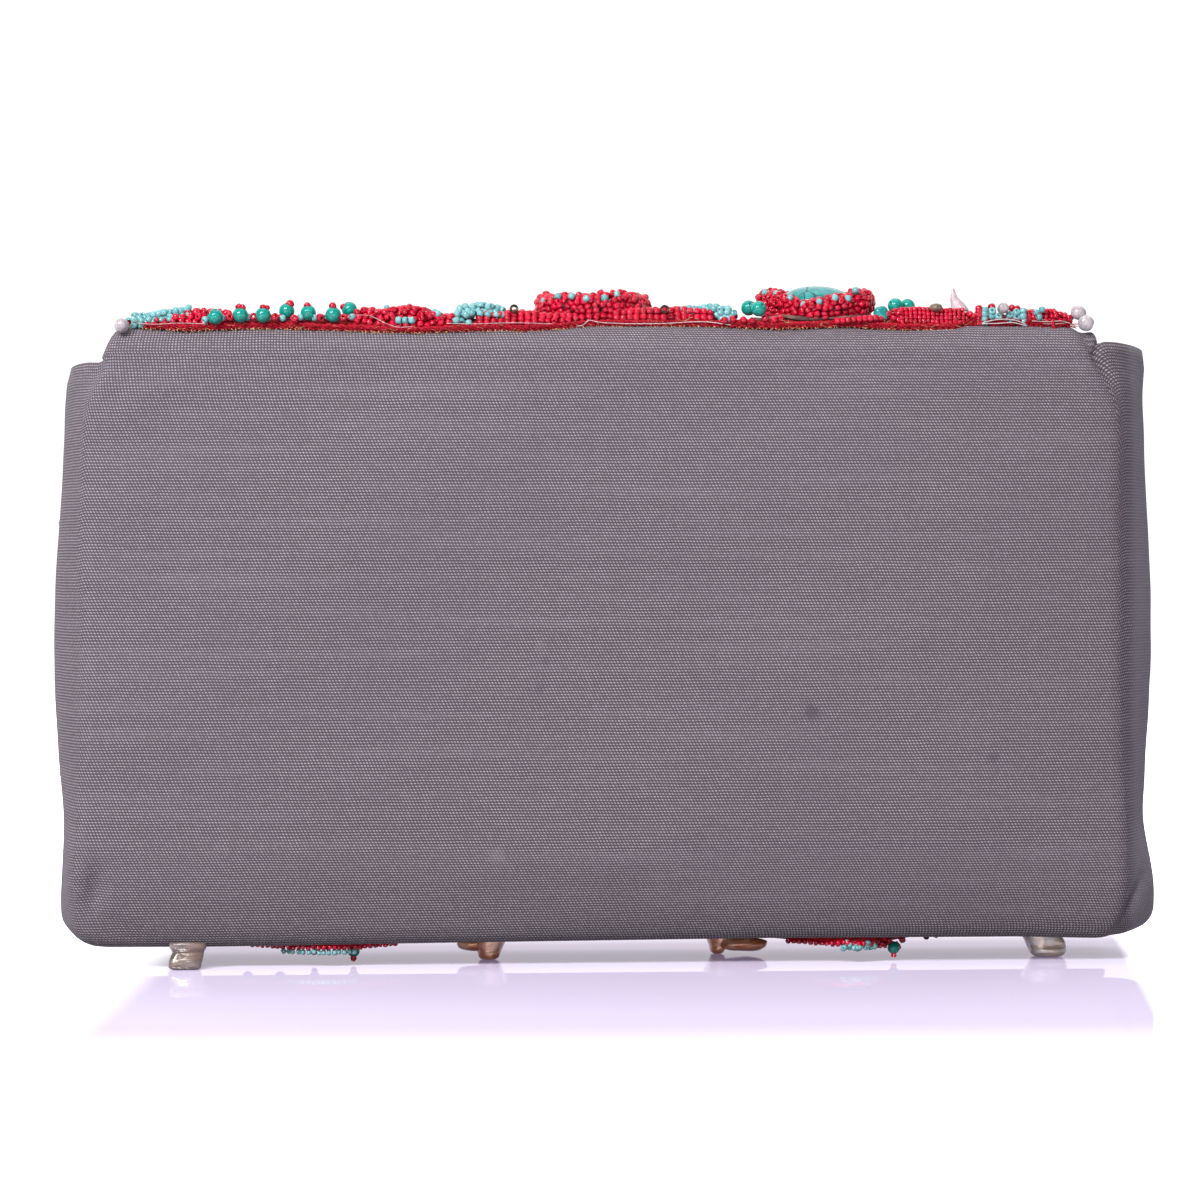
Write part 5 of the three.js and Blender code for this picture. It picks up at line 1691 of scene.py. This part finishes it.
def stage():
    size = 3.0
    # White acrylic: the camera sees it bright, with a faint lilac mirror near the bag; it
    # throws little light back at the bag
    material, nodes = emptyMaterial("glossyFloor")
    white = nodes.add("ShaderNodeBsdfDiffuse", {"Color": (0.5, 0.455, 0.57, 1)})
    glow = nodes.add("ShaderNodeEmission", {"Color": (0.76, 0.6, 1, 1), "Strength": 0.13})
    across, forward, _ = nodes.add("ShaderNodeSeparateXYZ", {0: nodes.where()}).outputs
    fade = nodes.steps(forward, backY - 0.165, backY - 0.105)
    mirror = nodes.colour(fade, (0, 0, 0, 1), (0.26, 0.26, 0.26, 1))
    gloss = nodes.add("ShaderNodeBsdfGlossy", {"Color": mirror, "Roughness": 0.02})
    # paler in front, behind and at both sides: painted light, an emission that whitens the floor there and
    # leaves its shading only about and under the bag
    near = nodes.steps(forward, backY - 0.105, backY - 0.165, (0.0, 0.5))
    slant = nodes.minus(across, nodes.times(forward, 0.14))
    leftSlant = nodes.minus(across, nodes.times(forward, 0.1))
    left = middleX - 0.1 * backY
    right = middleX + 0.1375 - 0.14 * backY
    paintedGlowRight = nodes.steps(slant, right, right + 0.004, (0.0, 0.7))
    paintedGlowLeft = nodes.steps(leftSlant, left - 0.113, left - 0.127, (0.0, 0.7))
    behind = nodes.steps(forward, backY + 0.05, backY + 0.09, (0.0, 0.6))
    # pale sums the painted light of the four masks into one emission strength
    pale = nodes.plus(nodes.plus(near, behind), nodes.plus(paintedGlowLeft, paintedGlowRight))
    whole = white
    for light in (glow, nodes.add("ShaderNodeEmission", {"Strength": pale}), gloss):
        whole = nodes.add("ShaderNodeAddShader", {0: whole.outputs[0], 1: light.outputs[0]})
    dull = nodes.add("ShaderNodeBsdfDiffuse", {"Color": (0.28, 0.27, 0.3, 1)})
    path = nodes.add("ShaderNodeLightPath").outputs
    seen = nodes.math("MAXIMUM", path["Is Camera Ray"], path["Is Glossy Ray"])
    chosen = nodes.add("ShaderNodeMixShader", {0: seen, 1: dull.outputs[0], 2: whole.outputs[0]})
    nodes.add("ShaderNodeOutputMaterial", {"Surface": chosen.outputs[0]})
    stageSheet("floor", [(-size, -size, 0), (size, -size, 0), (size, size, 0), (-size, size, 0)], material)

    material, nodes = emptyMaterial("whiteBackdrop")
    seen = nodes.add("ShaderNodeLightPath").outputs["Is Diffuse Ray"]
    glow = nodes.add("ShaderNodeEmission", {"Strength": nodes.steps(seen, 0.0, 1.0, (1.15, 0.5))})
    nodes.add("ShaderNodeOutputMaterial", {"Surface": glow.outputs[0]})
    far, top = 1.6, 2 * size
    stageSheet("backdrop", [(-size, far, 0), (size, far, 0), (size, far, top), (-size, far, top)], material)

    scene.world = bpy.data.worlds.new("studio")
    scene.world.use_nodes = True
    background = scene.world.node_tree.nodes["Background"]
    background.inputs["Color"].default_value = (0.97, 0.97, 1.0, 1)
    background.inputs["Strength"].default_value = 0.22


def areaLight(name, place, target, size, power):
    lamp = bpy.data.lights.new(name, "AREA")
    lamp.shape = "RECTANGLE"
    lamp.size, lamp.size_y = size
    lamp.energy = power
    holder = bpy.data.objects.new(name, lamp)
    scene.collection.objects.link(holder)
    holder.location = place
    holder.rotation_euler = (Vector(target) - Vector(place)).to_track_quat("-Z", "Y").to_euler()


def photoCamera():
    view = {
        "heading": math.radians(3.8 - 0.105),  # the bag's middle lies a little right of the picture's
        "stand": math.radians(3.8),
        "pitch": math.radians(1.5),
        "distance": 1.0,
        "eye": 0.1232,
        "lens": 114.5,
    }
    camera = bpy.data.cameras.new("camera")
    camera.lens, camera.sensor_width = view["lens"], 36
    holder = bpy.data.objects.new("camera", camera)
    scene.collection.objects.link(holder)
    holder.location = (middleX - view["distance"] * math.sin(view["stand"]),
                       backY - view["distance"] * math.cos(view["stand"]), view["eye"])
    holder.rotation_euler = (math.pi / 2 - view["pitch"], 0, -view["heading"])
    scene.camera = holder


stage()
target = (0, backY, 0.09)
areaLight("keyLeft", (-0.95, -1.1, 0.95), target, (0.3, 0.45), 25)
areaLight("keyNear", (-0.35, -1.25, 1.1), target, (0.25, 0.35), 16)
areaLight("lowFront", (-0.2, -1.2, 0.1), (0, backY, 0), (1.0, 0.15), 2.5)
areaLight("fillRight", (1.0, -1.0, 0.7), target, (0.4, 0.6), 2.5)
areaLight("topSoft", (0, 0.1, 1.3), (0, 0, 0), (1.2, 0.9), 5)
photoCamera()
scene.view_settings.view_transform = "Standard"
scene.view_settings.look = "None"
print("stage set")
